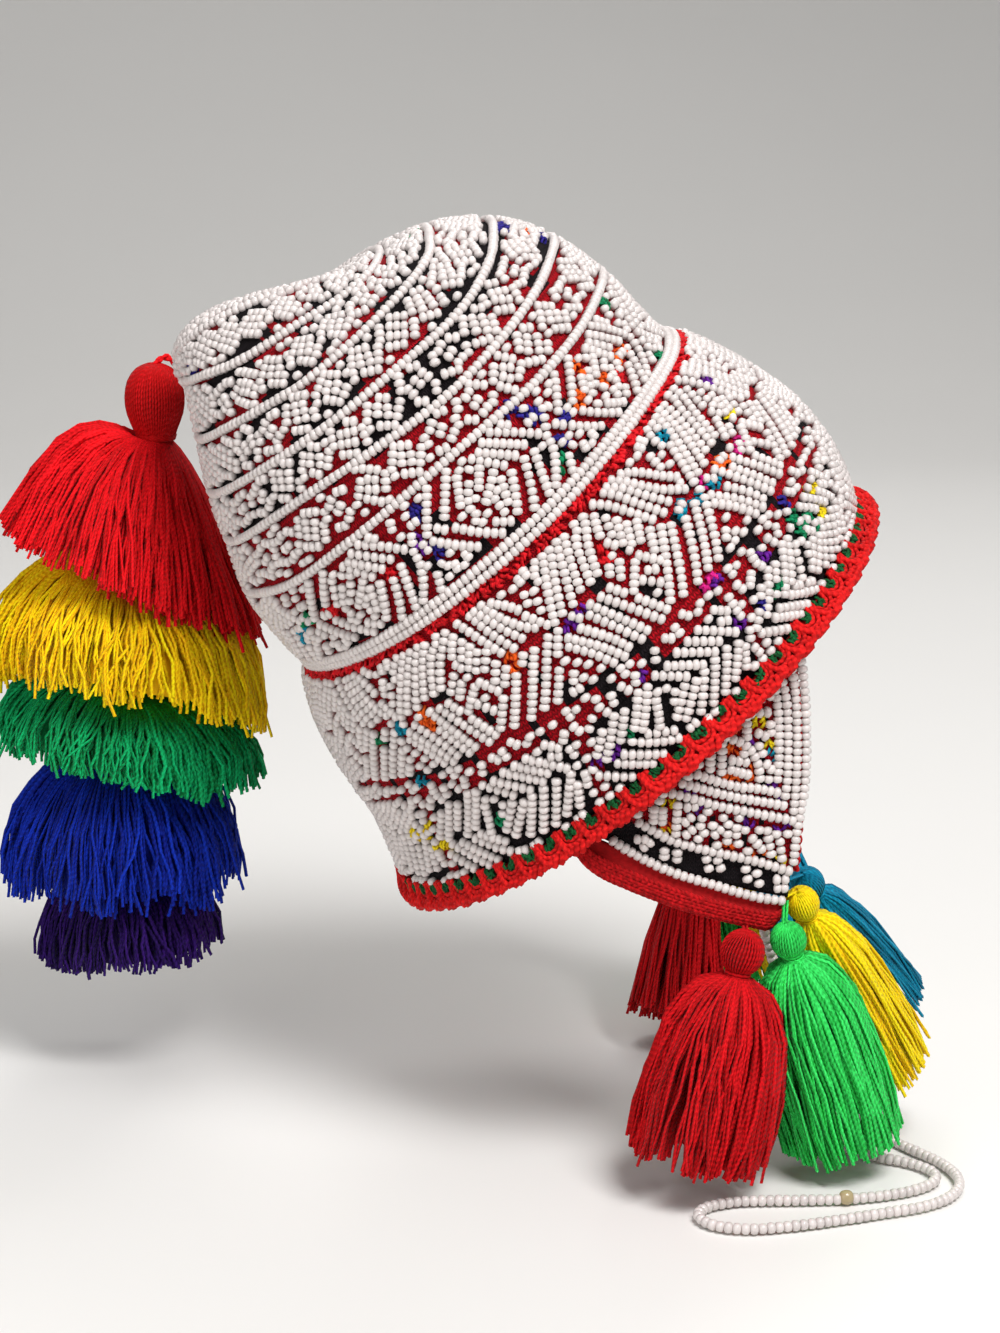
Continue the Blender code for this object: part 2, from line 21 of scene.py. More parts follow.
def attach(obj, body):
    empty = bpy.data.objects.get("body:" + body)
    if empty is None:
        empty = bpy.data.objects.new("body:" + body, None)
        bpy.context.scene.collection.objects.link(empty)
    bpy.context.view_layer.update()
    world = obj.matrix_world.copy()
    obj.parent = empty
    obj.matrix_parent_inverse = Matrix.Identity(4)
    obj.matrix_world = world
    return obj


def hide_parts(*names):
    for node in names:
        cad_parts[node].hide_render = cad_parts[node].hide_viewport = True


bl_info = {
    "name": "Chullo hat looks",
    "version": (1, 0, 0),
    "blender": (4, 5, 0),
    "location": "View3D > Sidebar > Chullo",
    "description": "Dresses a knitted chullo hat in seed beads, crochet, wool tassels and a bead strap",
    "category": "Add Mesh",
}

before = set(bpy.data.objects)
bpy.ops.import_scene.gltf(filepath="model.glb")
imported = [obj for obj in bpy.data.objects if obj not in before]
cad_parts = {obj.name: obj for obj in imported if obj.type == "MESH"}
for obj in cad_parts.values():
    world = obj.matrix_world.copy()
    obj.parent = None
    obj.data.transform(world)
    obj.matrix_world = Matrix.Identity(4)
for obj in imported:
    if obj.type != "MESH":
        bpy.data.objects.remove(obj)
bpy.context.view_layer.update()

MM = 0.001
BODY = "root"
SIDES = {"near": 1.0, "far": -1.0}
# Steps of a smooth route from one listed place to the next
ROUTE_DETAIL = 24

# Starts of the random choices, so that every build comes out alike
STITCH_SEED = 5
TRIM_SEED = 21
BAND_SEED = 31
FLAP_TASSEL_SEED = 100
PEAK_TASSEL_SEED = 200
PEAK_HEAD_SEED = 300

X_AXIS = Vector((1.0, 0.0, 0.0))
Y_AXIS = Vector((0.0, 1.0, 0.0))
Z_AXIS = Vector((0.0, 0.0, 1.0))

# Crown sections, as the frame has them, from the brim to the folded tip
Section = namedtuple("Section", "front_x front_z back_x back_z half_width dip shift roll")
CROWN_SECTIONS = tuple(Section(*row) for row in (
    (63.4, 59.6, -71.7, -54.7, 80, 3, 0, 0),
    (57.5, 74, -79.5, -36, 81.5, 5, 0, 0),
    (46.5, 88, -89, -21.5, 80.5, 7, 0, 0),
    (30, 99.5, -96.3, -7, 76.5, 8, 0, 0),
    (15, 107, -99.5, 4, 72.5, 8.5, 0, 0),
    (6.8, 108.6, -100.4, 11.6, 70, 8.5, 0, 0),
    (0, 114.5, -106, 18, 67.5, 5, 0, 0),
    (-11, 126, -116, 31.3, 63, -1, 0, 0),
    (-27.1, 136.7, -121.6, 46.9, 57, -3, 0, 0),
    (-43.6, 141, -126.3, 60.6, 50, -3, 1, 0),
    (-61.6, 138.5, -129.8, 77.4, 42, 0, 3, 0),
    (-79.5, 129, -132.9, 92.5, 31, 0, 7, 4),
    (-97, 115.5, -134.5, 99.5, 16, 0, 13, 40),
    (-108, 105.5, -135.5, 94, 12, 0, 21, 85),
    (-118, 99, -133, 90, 8, 0, 30, 115),
    (-126.5, 93.5, -132, 89.5, 3.2, 0, 36.5, 130),
))
TIP_ROW = len(CROWN_SECTIONS) - 1
CAVITY_TOP_ROW = 10
CROWN_AXIS = Vector((-0.646, 0.0, 0.763))
CROWN_WALL = 4.0
INSIDE_RED = 0.75

# Lines of single strings round the crown: the row of each at every 20 degrees of the near side
LINE_STEP = 20.0
LINES = {
    "main_band_top": (4.15, 4.25, 4.55, 4.76, 4.86, 4.94, 4.84, 4.69, 4.52, 4.44),
    "double_lower": (4.55, 4.65, 5.02, 5.25, 5.36, 5.4, 5.32, 5.2, 5.08, 5.0),
    "double_upper": (4.85, 4.92, 5.26, 5.5, 5.6, 5.64, 5.56, 5.43, 5.32, 5.25),
    "line_five": (7.0, 7.0, 6.92, 6.9, 6.97, 7.0, 7.0, 7.0, 7.1, 7.15),
    "line_four": (7.9, 7.86, 7.72, 7.62, 7.6, 7.75, 7.92, 8.03, 8.07, 8.1),
    "line_three": (9.0, 8.87, 8.57, 8.37, 8.43, 8.55, 8.75, 8.95, 9.05, 9.08),
    "line_two": (10.0, 9.9, 9.65, 9.55, 9.55, 9.65, 9.85, 9.97, 10.0, 10.0),
    "line_one": (10.75, 10.7, 10.6, 10.65, 10.8, 10.85, 10.9, 11.0, 11.05, 11.1),
    "crest_low": (11.5, 11.5, 11.5, 11.55, 11.6, 11.65, 11.7, 11.75, 11.8, 11.8),
}
STRING_LINES = tuple(name for name in LINES if name != "main_band_top")
LINE_PITCH_SHARE = 0.94

# Rings of rosettes, each between two lines; they stand upright on a crown that is tipped back
RosetteRing = namedtuple("RosetteRing", "below above count first_angle size")
ROSETTE_RINGS = (
    RosetteRing("line_five", "line_four", 35, 2.5, 1.04),
    RosetteRing("line_four", "line_three", 33, 5.0, 1.04),
    RosetteRing("line_three", "line_two", 30, 1.0, 1.04),
    RosetteRing("line_two", "line_one", 25, 6.0, 1.02),
    RosetteRing("line_one", "crest_low", 20, 4.0, 0.95),
)
ROSETTE_TILT = -40.0
# A rosette's short strings: x and y in millimetres from its middle, heading and beads of each
ROSETTE_FORMS = (
    (
        (-1.4, 0, 90, 3), (1.4, 0, 90, 3), (-4.25, 0.3, 90, 3), (4.25, -0.3, 90, 3), (0.1, 4.7, 4, 3),
        (-0.1, -4.7, 4, 3),
    ),
    (
        (-1.4, 0, 90, 2), (1.4, 0, 90, 2), (-4.1, -0.5, 84, 3), (4.1, 0.5, 84, 3), (-1.1, 3.6, -6, 3),
        (1.1, -3.6, -6, 3), (3.7, 4.6, 60, 1), (-3.7, -4.6, 60, 1),
    ),
    (
        (0, 0, 60, 2), (-2.6, 1.7, 60, 2), (2.6, -1.7, 60, 2), (-4.6, -1.5, 100, 2), (4.6, 1.5, 100, 2),
        (-0.3, 4.6, 12, 3), (0.3, -4.6, 12, 3),
    ),
)

# Figured bands: nine equal cells round the crown, each charted once in millimetres from its middle.
# Across, x runs to the back; y rises from the cell's lower row or line to its upper one.
# A string is its route, x and y in turn; a pair is a single bead. Patches are x, y, width, height.
CELLS_ROUND = 9
Cell = namedtuple("Cell", "angle width height low high red_ground patches strings")
MAIN_CELL = Cell(77.0, 57.0, 37.2, 1.95, "main_band_top", True, (
    (-7, 27.5, 3, 4), (-0.5, 6, 3.5, 4), (9, 14.8, 6, 3), (21.5, 31, 4, 11), (27, 15, 5, 3),
    (-22, 2.5, 3, 3), (12, 6, 4, 10), (-23.5, 32, 3, 4), (-19, 9, 2, 8), (-3, 17, 2.5, 5),
), (
    (-28.4, 15.4, -23.5, 20, -20, 27, -18, 35.5), (-22.2, 16.5, -19.5, 21.5, -17.5, 27, -15, 35),
    (-18.6, 15.7, -15.6, 23.2, -13, 34.5), (-14.9, 16.6, -11.6, 24.2, -8, 35),
    (-30, 18.5, -27.2, 22, -25, 26, -21, 33),
    (-5, 29.7, -1.5, 23.5), (-6.7, 25.8, -4, 21.4), (-8.1, 23, -4.2, 18), (-9, 20.4, -5.6, 16.4),
    (-11.5, 19, -8, 15.5), (-13.2, 16.8, -8.6, 11.8), (-7.5, 9.6, -4.4, 13.4), (-3.9, 15.8, -0.3, 22.5),
    (-2.4, 13, 3.6, 9), (-3, 6.6, -0.2, 9.3), (-0.5, 20, 4.8, 15), (0.5, 15.5, 3.3, 12.8),
    (-28, 13, -15, 1.8), (-22.7, 12.5, -10.4, 1.5), (-17, 12.7, -5.2, 1.9), (-14.8, 14, -1.5, 2.8),
    (-30, 11, -19, 1.5),
    (-3, 34.5, -0.8, 29, 3, 23.8, 7, 17.2), (0.5, 35.5, 1.3, 32, 4.7, 27.3, 10.1, 16.8),
    (5.5, 34.5, 8, 27.6, 13.6, 17), (8.2, 35.5, 12, 25.4, 17.8, 15.5), (11.5, 35, 14, 27.8, 21.7, 15.4),
    (14.4, 35, 17.3, 27.3, 25, 14.8), (17.3, 35.5, 20, 30, 20.6, 26.3), (21.7, 22.9, 19.9, 21.3),
    (21.9, 36, 22, 33), (24.7, 34.5, 24.7, 32), (25.2, 29.8, 27.2, 23), (27.8, 31.7), (23.4, 24.8),
    (24.7, 21.7, 25.6, 19.2), (30, 20.5, 26.9, 15.4),
    (0.8, 2, 7.5, 12.8), (3.6, 1.3, 11, 12.6), (8.3, 1.6, 14.6, 12.9), (10.8, 1, 17.4, 12.8),
    (14.8, 1.5, 16.5, 5, 21.8, 11.5), (17, 0.6, 20, 5, 25, 10.3), (20.2, 1, 23, 5.2, 26.4, 8.8),
    (25.8, 12.8, 30, 9), (27.5, 5.4), (23.7, 1.7), (28.8, 2.3), (27.2, 0.8), (29.7, 7),
))
UPPER_CELL = Cell(85.0, 48.0, 26.0, "double_upper", "line_five", True, (
    (-18, 14, 3, 10), (-13, 9, 2, 9), (17, 16, 5, 6), (19, 4.5, 18, 5), (-23, 7, 5, 8), (3, 3, 6, 4),
), (
    (-19.5, 17, -15.5, 20.2, -9.7, 24.3), (-14.5, 17.3, -6.2, 23.6), (-10.7, 16.8, -3.8, 22.5),
    (-6.7, 16.8, -1.3, 22.4), (-17, 20.6, -13.4, 24), (-25.3, 20.5, -22.4, 17), (-22, 24.8, -20.3, 22),
    (-21, 19.5), (-21, 15.4, -19.5, 11.2, -13.6, 3.6), (-15.4, 14.6, -12.8, 9, -10.8, 3.3),
    (-12, 14.9, -5.2, 3.2), (-7, 14.5, -1.2, 6.2), (-3.6, 15, -1, 10), (-21.8, 7.3, -19.8, 2.8),
    (-21.2, 10.8), (-24.8, 8.9, -23.3, 8.2),
    (-1.5, 22.3, 1, 21), (3.3, 22.3), (5, 21.4, 9, 16.5), (-1.2, 19.9, 2.3, 16.8),
    (2, 20, 6.2, 16.6, 7.7, 14.5), (-4.5, 18.5, -2.7, 16.8, 3.2, 13.4), (4.8, 15.5, 8.7, 11.6),
    (-1, 13.7), (1, 12.6, 1.4, 8.6), (5, 11.2), (7.5, 10.3), (1.8, 5.3, 4.2, 7.5, 6.2, 9.5),
    (5.6, 4.2, 13.9, 13.4), (12.9, 6, 20.9, 14.3), (6, 24, 14.3, 16.8), (13, 24, 21, 16.3),
    (16.3, 23.5), (20.7, 24.3), (22.3, 22.3), (21, 20, 22.8, 20), (19.5, 9.7), (16.7, 6.8, 16.7, 5.4),
    (18.8, 4.3), (20.7, 6.5, 21, 4.8), (22.3, 7.3),
))
LOWER_CELL = Cell(87.0, 57.0, 28.0, 0.0, 1.95, False, (
    (-13.5, 24.7, 19, 7), (4, 24, 11, 7.5), (19.5, 24, 12, 7.5), (27.5, 14, 7, 28), (-27.5, 24, 5, 8),
), (
    (-28.1, 25.3), (-27, 24.6), (-24.2, 25.5), (-21.1, 25.7), (-19.2, 24.6), (-15.6, 26.9, -16.6, 25.5),
    (-11.9, 25.8, -11.9, 24), (-9.4, 24.4, -8.1, 25.5), (-4.1, 24.9, -2.8, 23), (0.6, 24.6),
    (3.1, 26.4), (5.6, 27, 5.6, 25.2), (9.1, 26.4), (3.8, 23.3, 4.7, 21.8), (8.4, 23.3, 7.5, 21.4),
    (11.9, 23, 12.5, 21.1), (15.6, 24.6, 16.2, 22.2, 15.3, 20.2), (17.5, 26.4), (21.3, 25.3),
    (23.8, 26.4, 23.8, 24.6), (19.4, 21.1, 21.6, 19.3), (24.7, 22, 24.1, 20.2), (27.8, 21.8, 29.1, 20.5),
    (26.9, 17.7), (28.8, 15.8), (23.1, 16.1), (-28.3, 21.5, -28, 17.6), (-25.6, 19.4, -22.9, 22),
    (-20.2, 21.4), (-24.4, 17.6, -22.6, 18.6),
    (-24.6, 13.8, -16.2, 21.3), (-19.3, 15.3, -12.2, 21), (-16.9, 14, -8.2, 20.8),
    (-12.4, 13.7, -4.2, 19.8), (-7, 14.4, -0.2, 20), (-25.6, 8.8, -24.2, 4.2), (-25, 12.2, -19.8, 4.2),
    (-20.3, 12.3, -15.8, 3.4), (-16, 12.3, -11.6, 3.5), (-12, 12, -7.4, 4.2), (-9, 11.6, -2.8, 5.6),
    (-5.5, 12.7, -0.5, 7.6), (-28.8, 11.1, -28.1, 9.3), (-28.4, 6.4, -29.4, 4.3), (-2.5, 13.3, -1.3, 11.4),
    (-0.9, 15.5), (1.6, 16.3),
    (3, 19, 9.4, 11), (5.8, 19.4, 13.2, 10), (11.4, 17.6, 16, 12.2), (14.4, 18.3, 21.4, 10.3),
    (19.2, 16.6, 26, 10), (26.3, 13.3), (3, 14.8, 4.8, 8.7), (6.9, 11.4), (9.1, 10.8),
    (0.9, 2.6, 5.5, 5, 13, 9.6), (1.4, 5.2, 8.5, 9), (6.2, 2, 16.5, 8.5), (9.8, 1.7, 20.8, 8.8),
    (14.2, 1, 25, 7.8), (20.6, 2), (24.4, 4.6), (23.9, 1.8), (27.2, 2), (28, 4.9),
    (28.4, 10.2, 28.4, 9), (28.8, 7.6, 28.8, 6.4),
))
CELLS = (MAIN_CELL, UPPER_CELL, LOWER_CELL)
FILL_PITCH = 2.7
FILL_ROWS = 0.12
HEADINGS = (0, 45, 90, 135)
CREST_REACH = 2.45
HOLE_REACH = 2.6
ROSETTE_REACH = 2.55
LOWEST_BEAD_ROW = 0.08
WOOL_CLEARING = 0.24

# Coloured wool that shows between the beads
Wool = namedtuple("Wool", "row angle colour width height")
CROWN_WOOL = tuple(Wool(*row) for row in (
    (2.9, 92.5, "purple", 6, 2.5), (2.95, 89, "purple", 4, 2), (1.5, 89, "purple", 4, 2),
    (3, 106, "orange", 4, 5), (2.8, 129, "orange", 5, 6), (3.45, 79, "red", 4, 6),
    (2.95, 61, "teal", 5, 3), (2.85, 57, "teal", 4, 2.5), (2.77, 51, "teal", 5, 3),
    (2.9, 53, "magenta", 3, 3), (2.75, 40, "magenta", 6, 4), (2.8, 46, "orange", 6, 4),
    (3.6, 27, "purple", 5, 3), (1.9, 68, "magenta", 6, 3), (1.85, 67, "purple", 4, 3),
    (1.5, 56, "purple", 4, 3), (1.7, 44, "blue", 4, 3), (1.3, 44, "green", 4, 8),
    (1.1, 40, "green", 3, 6), (0.9, 57, "green", 5, 3), (0.9, 62, "blue", 3, 2),
    (1, 68, "purple", 3, 3), (3.97, 49, "teal", 6, 2.5), (0.7, 100, "purple", 5, 3),
    (0.75, 104, "purple", 3, 2), (0.8, 96, "green", 3, 3), (0.7, 127, "green", 5, 3),
    (2.7, 144, "green", 5, 3), (2.85, 137, "teal", 6, 3), (1.8, 140, "teal", 4, 2),
    (0.85, 152, "yellow", 10, 3), (0.6, 145, "yellow", 10, 2), (1, 147, "yellow", 4, 2),
    (1.4, 34, "yellow", 5, 3), (1, 36, "yellow", 4, 3), (3.05, 33, "yellow", 4, 3),
    (6.45, 105, "purple", 4, 5), (6.75, 101, "blue", 5, 4), (6.25, 103, "blue", 3, 5),
    (6.9, 70, "blue", 4, 3), (6.65, 67, "blue", 5, 5), (6.35, 62, "blue", 5, 3),
    (6.15, 66, "blue", 5, 4), (6.3, 55, "orange", 5, 5), (6.6, 50, "orange", 3, 6),
    (6.2, 46, "orange", 4, 4), (6.2, 36, "orange", 9, 3), (6, 42, "red", 3, 4),
    (5.92, 69, "green", 4, 3), (6.4, 137, "red", 6, 4), (6.4, 116, "red", 4, 4),
    (6.45, 146, "green", 8, 3), (6.2, 152, "teal", 8, 5), (8.75, 12, "blue", 10, 5),
    (8.45, 6, "orange", 9, 5), (8.1, 8, "blue", 8, 3), (10.2, 8, "green", 8, 3),
    (11.25, 150, "blue", 5, 4), (6.8, 24, "green", 6, 3), (5.15, 22, "green", 5, 2),
))
WOOL_COLOURS = {
    "red": (205, 18, 30),
    "orange": (240, 95, 20),
    "yellow": (238, 200, 20),
    "green": (10, 130, 85),
    "teal": (0, 135, 160),
    "blue": (45, 35, 130),
    "purple": (100, 25, 140),
    "magenta": (205, 30, 130),
}

# Yarn of the coloured stitches and of the edging's green tufts, in metres
STITCH_WIDTH = 0.0012
TUFT_WIDTH = 0.0013
# Side of the square that the flaps' knit map covers, in metres
FLAP_KNIT_SPAN = 0.1

# Ear flaps: the same sizes as in the frame
FLAP_WALL = 3.5
FLAP_BASE_FRONT = 57.0
FLAP_BASE_BACK = 112.0
FLAP_TUCK_ROW = 0.75
FLAP_INSET = 5.0
FLAP_TIP = (33.0, 70.5, -44.5)
FLAP_HEEL = (-20.0, 70.5, -25.5)
FLAP_SAG = 2.2
FLAP_FRONT_BULGE = 3.0
BAND_WIDTH = 10.0
BAND_THICKNESS = 6.0
BAND_DROP = 5.6
BAND_LENGTH = 64.0
BAND_REACH = 1.14
BAND_STITCH = 1.7
BAND_CHAINS = (0.2, 2.05, 3.9)
BAND_TAPER = 0.22
# One leg of a chain stitch: steps ahead, spread from the chain's line and height over the band
BAND_LEG = ((-0.2, 0.1, -0.7), (0.35, 0.35, 0.1), (1.0, 0.85, 0.2), (1.5, 0.95, -0.6))
PIPING_DIAMETER = 2.4

# Strings of the flap as routes in its own plane: x to the front and z up, in turn
FLAP_STRINGS = (
    (35, 28, 37, 20, 38, 8, 38, -8, 37, -17, 35.3, -26, 34.4, -34),
    (32.6, 24, 34.6, 16, 35.3, 5, 35.2, -8, 34.4, -19.5),
    (30.3, 19, 32, 12, 32.5, 2, 32.4, -10, 31.8, -15), (28.3, 17, 29.5, 9, 29.8, -3, 29.4, -10),
    (6, -6.8, 12, -9.2, 18, -11.2, 24, -12.2, 29.3, -13.8),
    (1.8, -9.2, 8, -11.2, 14, -13.2, 22, -15.3, 31.3, -17.6),
    (-1, -12, 5, -13.8, 12, -16.3, 22, -19, 34, -22.2),
    (14, 3.4, 17.5, 2, 20.5, 0, 22.6, -3, 23.8, -6, 24.2, -9.3), (9.6, 0, 9.6, -5.4),
    (12.9, 1.6, 12.9, -6.5), (15.9, -3.4, 22, -4.6), (15.6, -6, 20.6, -7.9), (20, 8.5, 20.2, 3),
    (21.5, 9.6, 26.2, 9.3), (27, 8, 27.3, 3.4), (22, 13.2, 27, 13.8), (21.6, 4.6, 25.6, 2.6),
    (-6, -16.6, -6, -20), (-3.6, -17, -3.6, -20.4), (0.6, -15.6, 0.4, -24), (26.6, -24.6, 27.8, -31.4),
    (30.4, -28, 31, -32.8),
    # Pairs of beads in the black stripe
    (-10.3, -25.6, -8.2, -25.6), (-8.4, -28, -6.8, -26.6), (-2.6, -29.2, -2.6, -30.9),
    (1, -29.8, 1, -31.8), (9.3, -32, 10, -34.8), (12.5, -32.4, 13.4, -34.8), (20.6, -35.4, 21.2, -38.3),
    (23.8, -36.8, 24.5, -39.8), (29.6, -38.9, 32, -39), (29.8, -41.4, 31.8, -41.4),
)
FLAP_BORDER_TOP = (-10, -20.6, -5, -23.6, 0, -26.4, 8, -29, 16, -31.2, 24, -33.4, 33, -36.6)
FLAP_BORDER_LOW = (
    -17, -26, -13, -28.8, -8, -31.8, -3, -34.4, 3, -37, 11, -39.6, 18, -42, 25, -44, 31, -45,
)
# Here a wool's row and angle are its x and z
FLAP_WOOL = tuple(Wool(*row) for row in (
    (26.3, 15.6, "yellow", 4, 2), (23.5, 6.4, "yellow", 4, 2.5), (27.2, 0.6, "yellow", 4, 2),
    (17.5, 5, "orange", 3, 3), (16.5, -0.4, "orange", 5, 3), (17.5, -8.6, "orange", 9, 2),
    (22, -8, "orange", 2, 5), (-2, -15.2, "yellow", 4, 2.5), (-2.4, -21.6, "orange", 5, 2),
    (-2.4, -23.6, "yellow", 4, 1.5), (24, -31, "orange", 7, 2), (30.7, -33.6, "yellow", 4, 2),
    (15, -28.2, "orange", 5, 2), (28, -11.7, "purple", 4, 2), (30.5, -15.2, "purple", 3, 1.5),
    (21, -22, "purple", 4, 2), (31, -24.2, "purple", 4, 2), (5, -17.4, "purple", 5, 2),
    (28, -3, "teal", 3, 3), (22, 1, "purple", 3, 2), (3, -11.6, "purple", 5, 1.5),
))

# Crochet edging round the opening
TRIM_WIDTH = 8.0
TRIM_GATHER = 0.77
TRIM_PROUD = 1.0
TRIM_HOLES = 72
TRIM_FIRST_HOLE = 3.6
TRIM_FLARE = 0.45
TRIM_LIP_THICKNESS = 2.0

# Tassels at the flap tips, as in the frame
Tassel = namedtuple("Tassel", "name colour tie head hem head_radius hem_radius slow strands")
TASSELS = tuple(Tassel(*row) for row in (
    ("near_red", "flap_red", (20.5, -71.5, -51.8), (18.5, -79, -57), (5, -82, -119.5), 6.4, 20.5, 0, 450),
    ("near_green", "bright_green", (32.5, -69.5, -45.4), (32.5, -74, -55.5), (51, -68.5, -119.5),
     5.2, 18, 0, 380),
    ("near_yellow", "flap_yellow", (32.6, -66.4, -45.3), (39, -61, -49), (71.5, -43, -109),
     5, 13.5, 0.1, 280),
    ("near_blue", "light_blue", (31.5, -65.5, -41.5), (43.5, -47, -47.5), (80, -13, -97),
     5, 10.5, 0.1, 210),
    ("far_red", "flap_red", (20.5, 68, -52.6), (30, 62, -59.5), (18.5, 35, -120.5), 5.6, 16.5, 0.85, 300),
    ("far_green", "bright_green", (32.5, 69.5, -45.4), (33.5, 74, -56.5), (46, 76, -120),
     5.2, 15, 0.2, 260),
    ("far_yellow", "flap_yellow", (32.6, 66.4, -45.3), (39, 61, -49), (64, 52, -110), 5, 12, 0.3, 200),
    ("far_blue", "light_blue", (31.5, 65.5, -41.5), (45, 47, -47.5), (62, 22, -98), 4.8, 10, 0.3, 160),
))
TASSEL_LENGTH_SHARE = 0.94
TASSEL_LOCKS = 11
HEAD_YARNS = 36
GOLDEN_SHARE = 0.618034
# Reach of a skirt's outside at parts of its length, as shares of the hem's
SKIRT_PARTS = (0.0, 0.07, 0.25, 0.6, 0.96, 1.0)
SKIRT_RADII = (0.2, 0.56, 0.84, 0.98, 1.0, 0.97)
STRAND_PARTS = (0.0, 0.06, 0.15, 0.28, 0.44, 0.62, 0.81, 1.0)

# Large tassel at the peak
PEAK_X = -150.5
PEAK_Y = 48.0
PEAK_HEAD_X = -142.0
PEAK_HEAD_Y = 47.0
PEAK_HEAD_ROWS = ((94, 2), (92.5, 5.5), (89, 8.2), (84, 9.2), (79, 8.6), (74, 6.6), (71.3, 5.8))
PEAK_HEAD_YARNS = 62
Tier = namedtuple(
    "Tier", "name top hem neck_radius hem_radius shift lean lift tilt near_lift top_tilt strands"
)
TIERS = tuple(Tier(*row) for row in (
    ("red", 71, 20, 5.5, 37.5, 0, 7, 10, 17, -1, 0, 940),
    ("yellow", 27, -16, 17, 42, -1, 0, 8, 8.5, 7, 11, 760),
    ("green", -9, -37.5, 17, 40, -3, 0, 10.3, 8, 0, 13, 680),
    ("blue", -30.5, -76, 17, 36, -4.5, 0, 11, -0.5, -1.5, 3, 640),
    ("purple", -69, -95.5, 17, 27.5, -3.5, 0, 5, -1, 0.5, 3, 460),
))
TIER_LOCKS = 24
# A tier's outline widens fast below its neck and then falls almost straight
BELL_FALL = 2.6
BELL_ROUND = 0.8
# The red strands on the back side spring up from the neck before they fall
ARCH_HEIGHT = 14.0

# Chin strap
FLOOR_Z = -126.5
STRAP_DIAMETER = 3.2
STRAP_Z = FLOOR_Z + STRAP_DIAMETER / 2
STRAP_NEAR_ROUTE = (
    (26, -64.3, -48.5), (26.6, -62.4, -52), (29, -61, -60), (32.3, -59, -70),
    (36.5, -56, -83), (43, -51.5, -100), (53, -49, -115), (61, -49, -122.5),
    *((x, y, STRAP_Z) for x, y in (
        (67.5, -52.5), (73, -62), (78.5, -72), (81, -82), (79.5, -91), (74, -98.5),
        (65.5, -103.5), (55, -106.3), (42.5, -109.5), (29, -112.3), (15.5, -113.3), (6.5, -110),
        (3, -103.5), (6.5, -97.3), (16.5, -94.3), (32, -95.2), (43.5, -95.9),
    )),
)
STRAP_FAR_ROUTE = (
    *((x, y, STRAP_Z) for x, y in (
        (48.7, -95.7), (58, -94.3), (67.5, -91), (73.6, -86), (75, -79.5), (70.5, -72.5),
        (62, -66.5), (53, -58), (44.5, -44), (37, -25), (32.5, -5), (30.5, 14),
        (32, 29),
    )),
    (33, 40.5, -121), (33, 48, -110), (32.5, 53.5, -93), (31.5, 56.5, -74),
    (29, 59.5, -60), (26.6, 62, -52), (26, 64.3, -48.5),
)
KNOT_LENGTH = 4.0
KNOT_DIAMETER = 4.2


def linear(colour):
    """Linear colour from red, green and blue as a screen shows them, 0 to 255."""
    parts = [value / 255 for value in colour]
    return tuple(part / 12.92 if part <= 0.04045 else ((part + 0.055) / 1.055) ** 2.4 for part in parts)


def colour_property(name, description, colour):
    """Colour setting with a swatch."""
    return FloatVectorProperty(
        name=name, description=description, subtype="COLOR", size=3, min=0.0, max=1.0, default=linear(colour)
    )


def size_property(name, description, millimetres):
    """Length setting, kept in metres."""
    return FloatProperty(
        name=name, description=description, default=millimetres * MM, min=0.0001, soft_max=0.02,
        precision=5, subtype="DISTANCE", unit="LENGTH",
    )


class ChulloBeadSettings(PropertyGroup):
    """Sizes and colours of the seed beads"""

    diameter: size_property("Diameter", "Seed bead across its hole", 2.95)
    length: size_property("Length", "Seed bead along its hole", 2.1)
    pitch: size_property("Pitch", "Distance from bead to bead on a string", 2.1)
    strap_pitch: size_property("Strap pitch", "Distance from bead to bead on the chin strap", 2.35)
    unevenness: FloatProperty(
        name="Unevenness", description="How far bead sizes differ", default=0.07, min=0.0, max=0.3
    )
    seed: IntProperty(name="Seed", description="Choice of the uneven sizes and fillings", default=11)
    white: colour_property("White", "Opaque white glass", (220, 211, 208))
    tan: colour_property("Tan", "Knot bead of the chin strap", (178, 160, 122))


class ChulloWoolSettings(PropertyGroup):
    """Sizes and colours of the wool"""

    strand: size_property("Strand", "Tassel yarn across its two plies", 1.25)
    crochet: size_property("Crochet yarn", "Yarn of the edging and bands", 2.1)
    ply_pitch: size_property("Ply pitch", "Length of one turn of the plies", 1.7)
    knit_red: colour_property("Knit red", "Ground knitting", (168, 5, 22))
    knit_black: colour_property("Knit black", "Ground knitting", (22, 15, 19))
    trim: colour_property("Edging", "Crochet red", (208, 20, 20))
    trim_green: colour_property("Edging green", "Stitches in the edging's gaps", (12, 88, 42))
    band: colour_property("Flap band", "Crochet red", (178, 8, 16))
    red: colour_property("Red", "Peak tassel wool", (232, 8, 22))
    flap_red: colour_property("Flap red", "Flap tassel wool", (196, 4, 16))
    yellow: colour_property("Yellow", "Peak tassel wool", (255, 204, 0))
    flap_yellow: colour_property("Flap yellow", "Flap tassel wool", (255, 213, 8))
    green: colour_property("Green", "Peak tassel wool", (0, 162, 96))
    bright_green: colour_property("Bright green", "Flap tassel wool", (56, 212, 98))
    blue: colour_property("Blue", "Peak tassel wool", (3, 42, 164))
    light_blue: colour_property("Light blue", "Flap tassel wool", (0, 136, 168))
    purple: colour_property("Purple", "Peak tassel wool", (46, 8, 98))


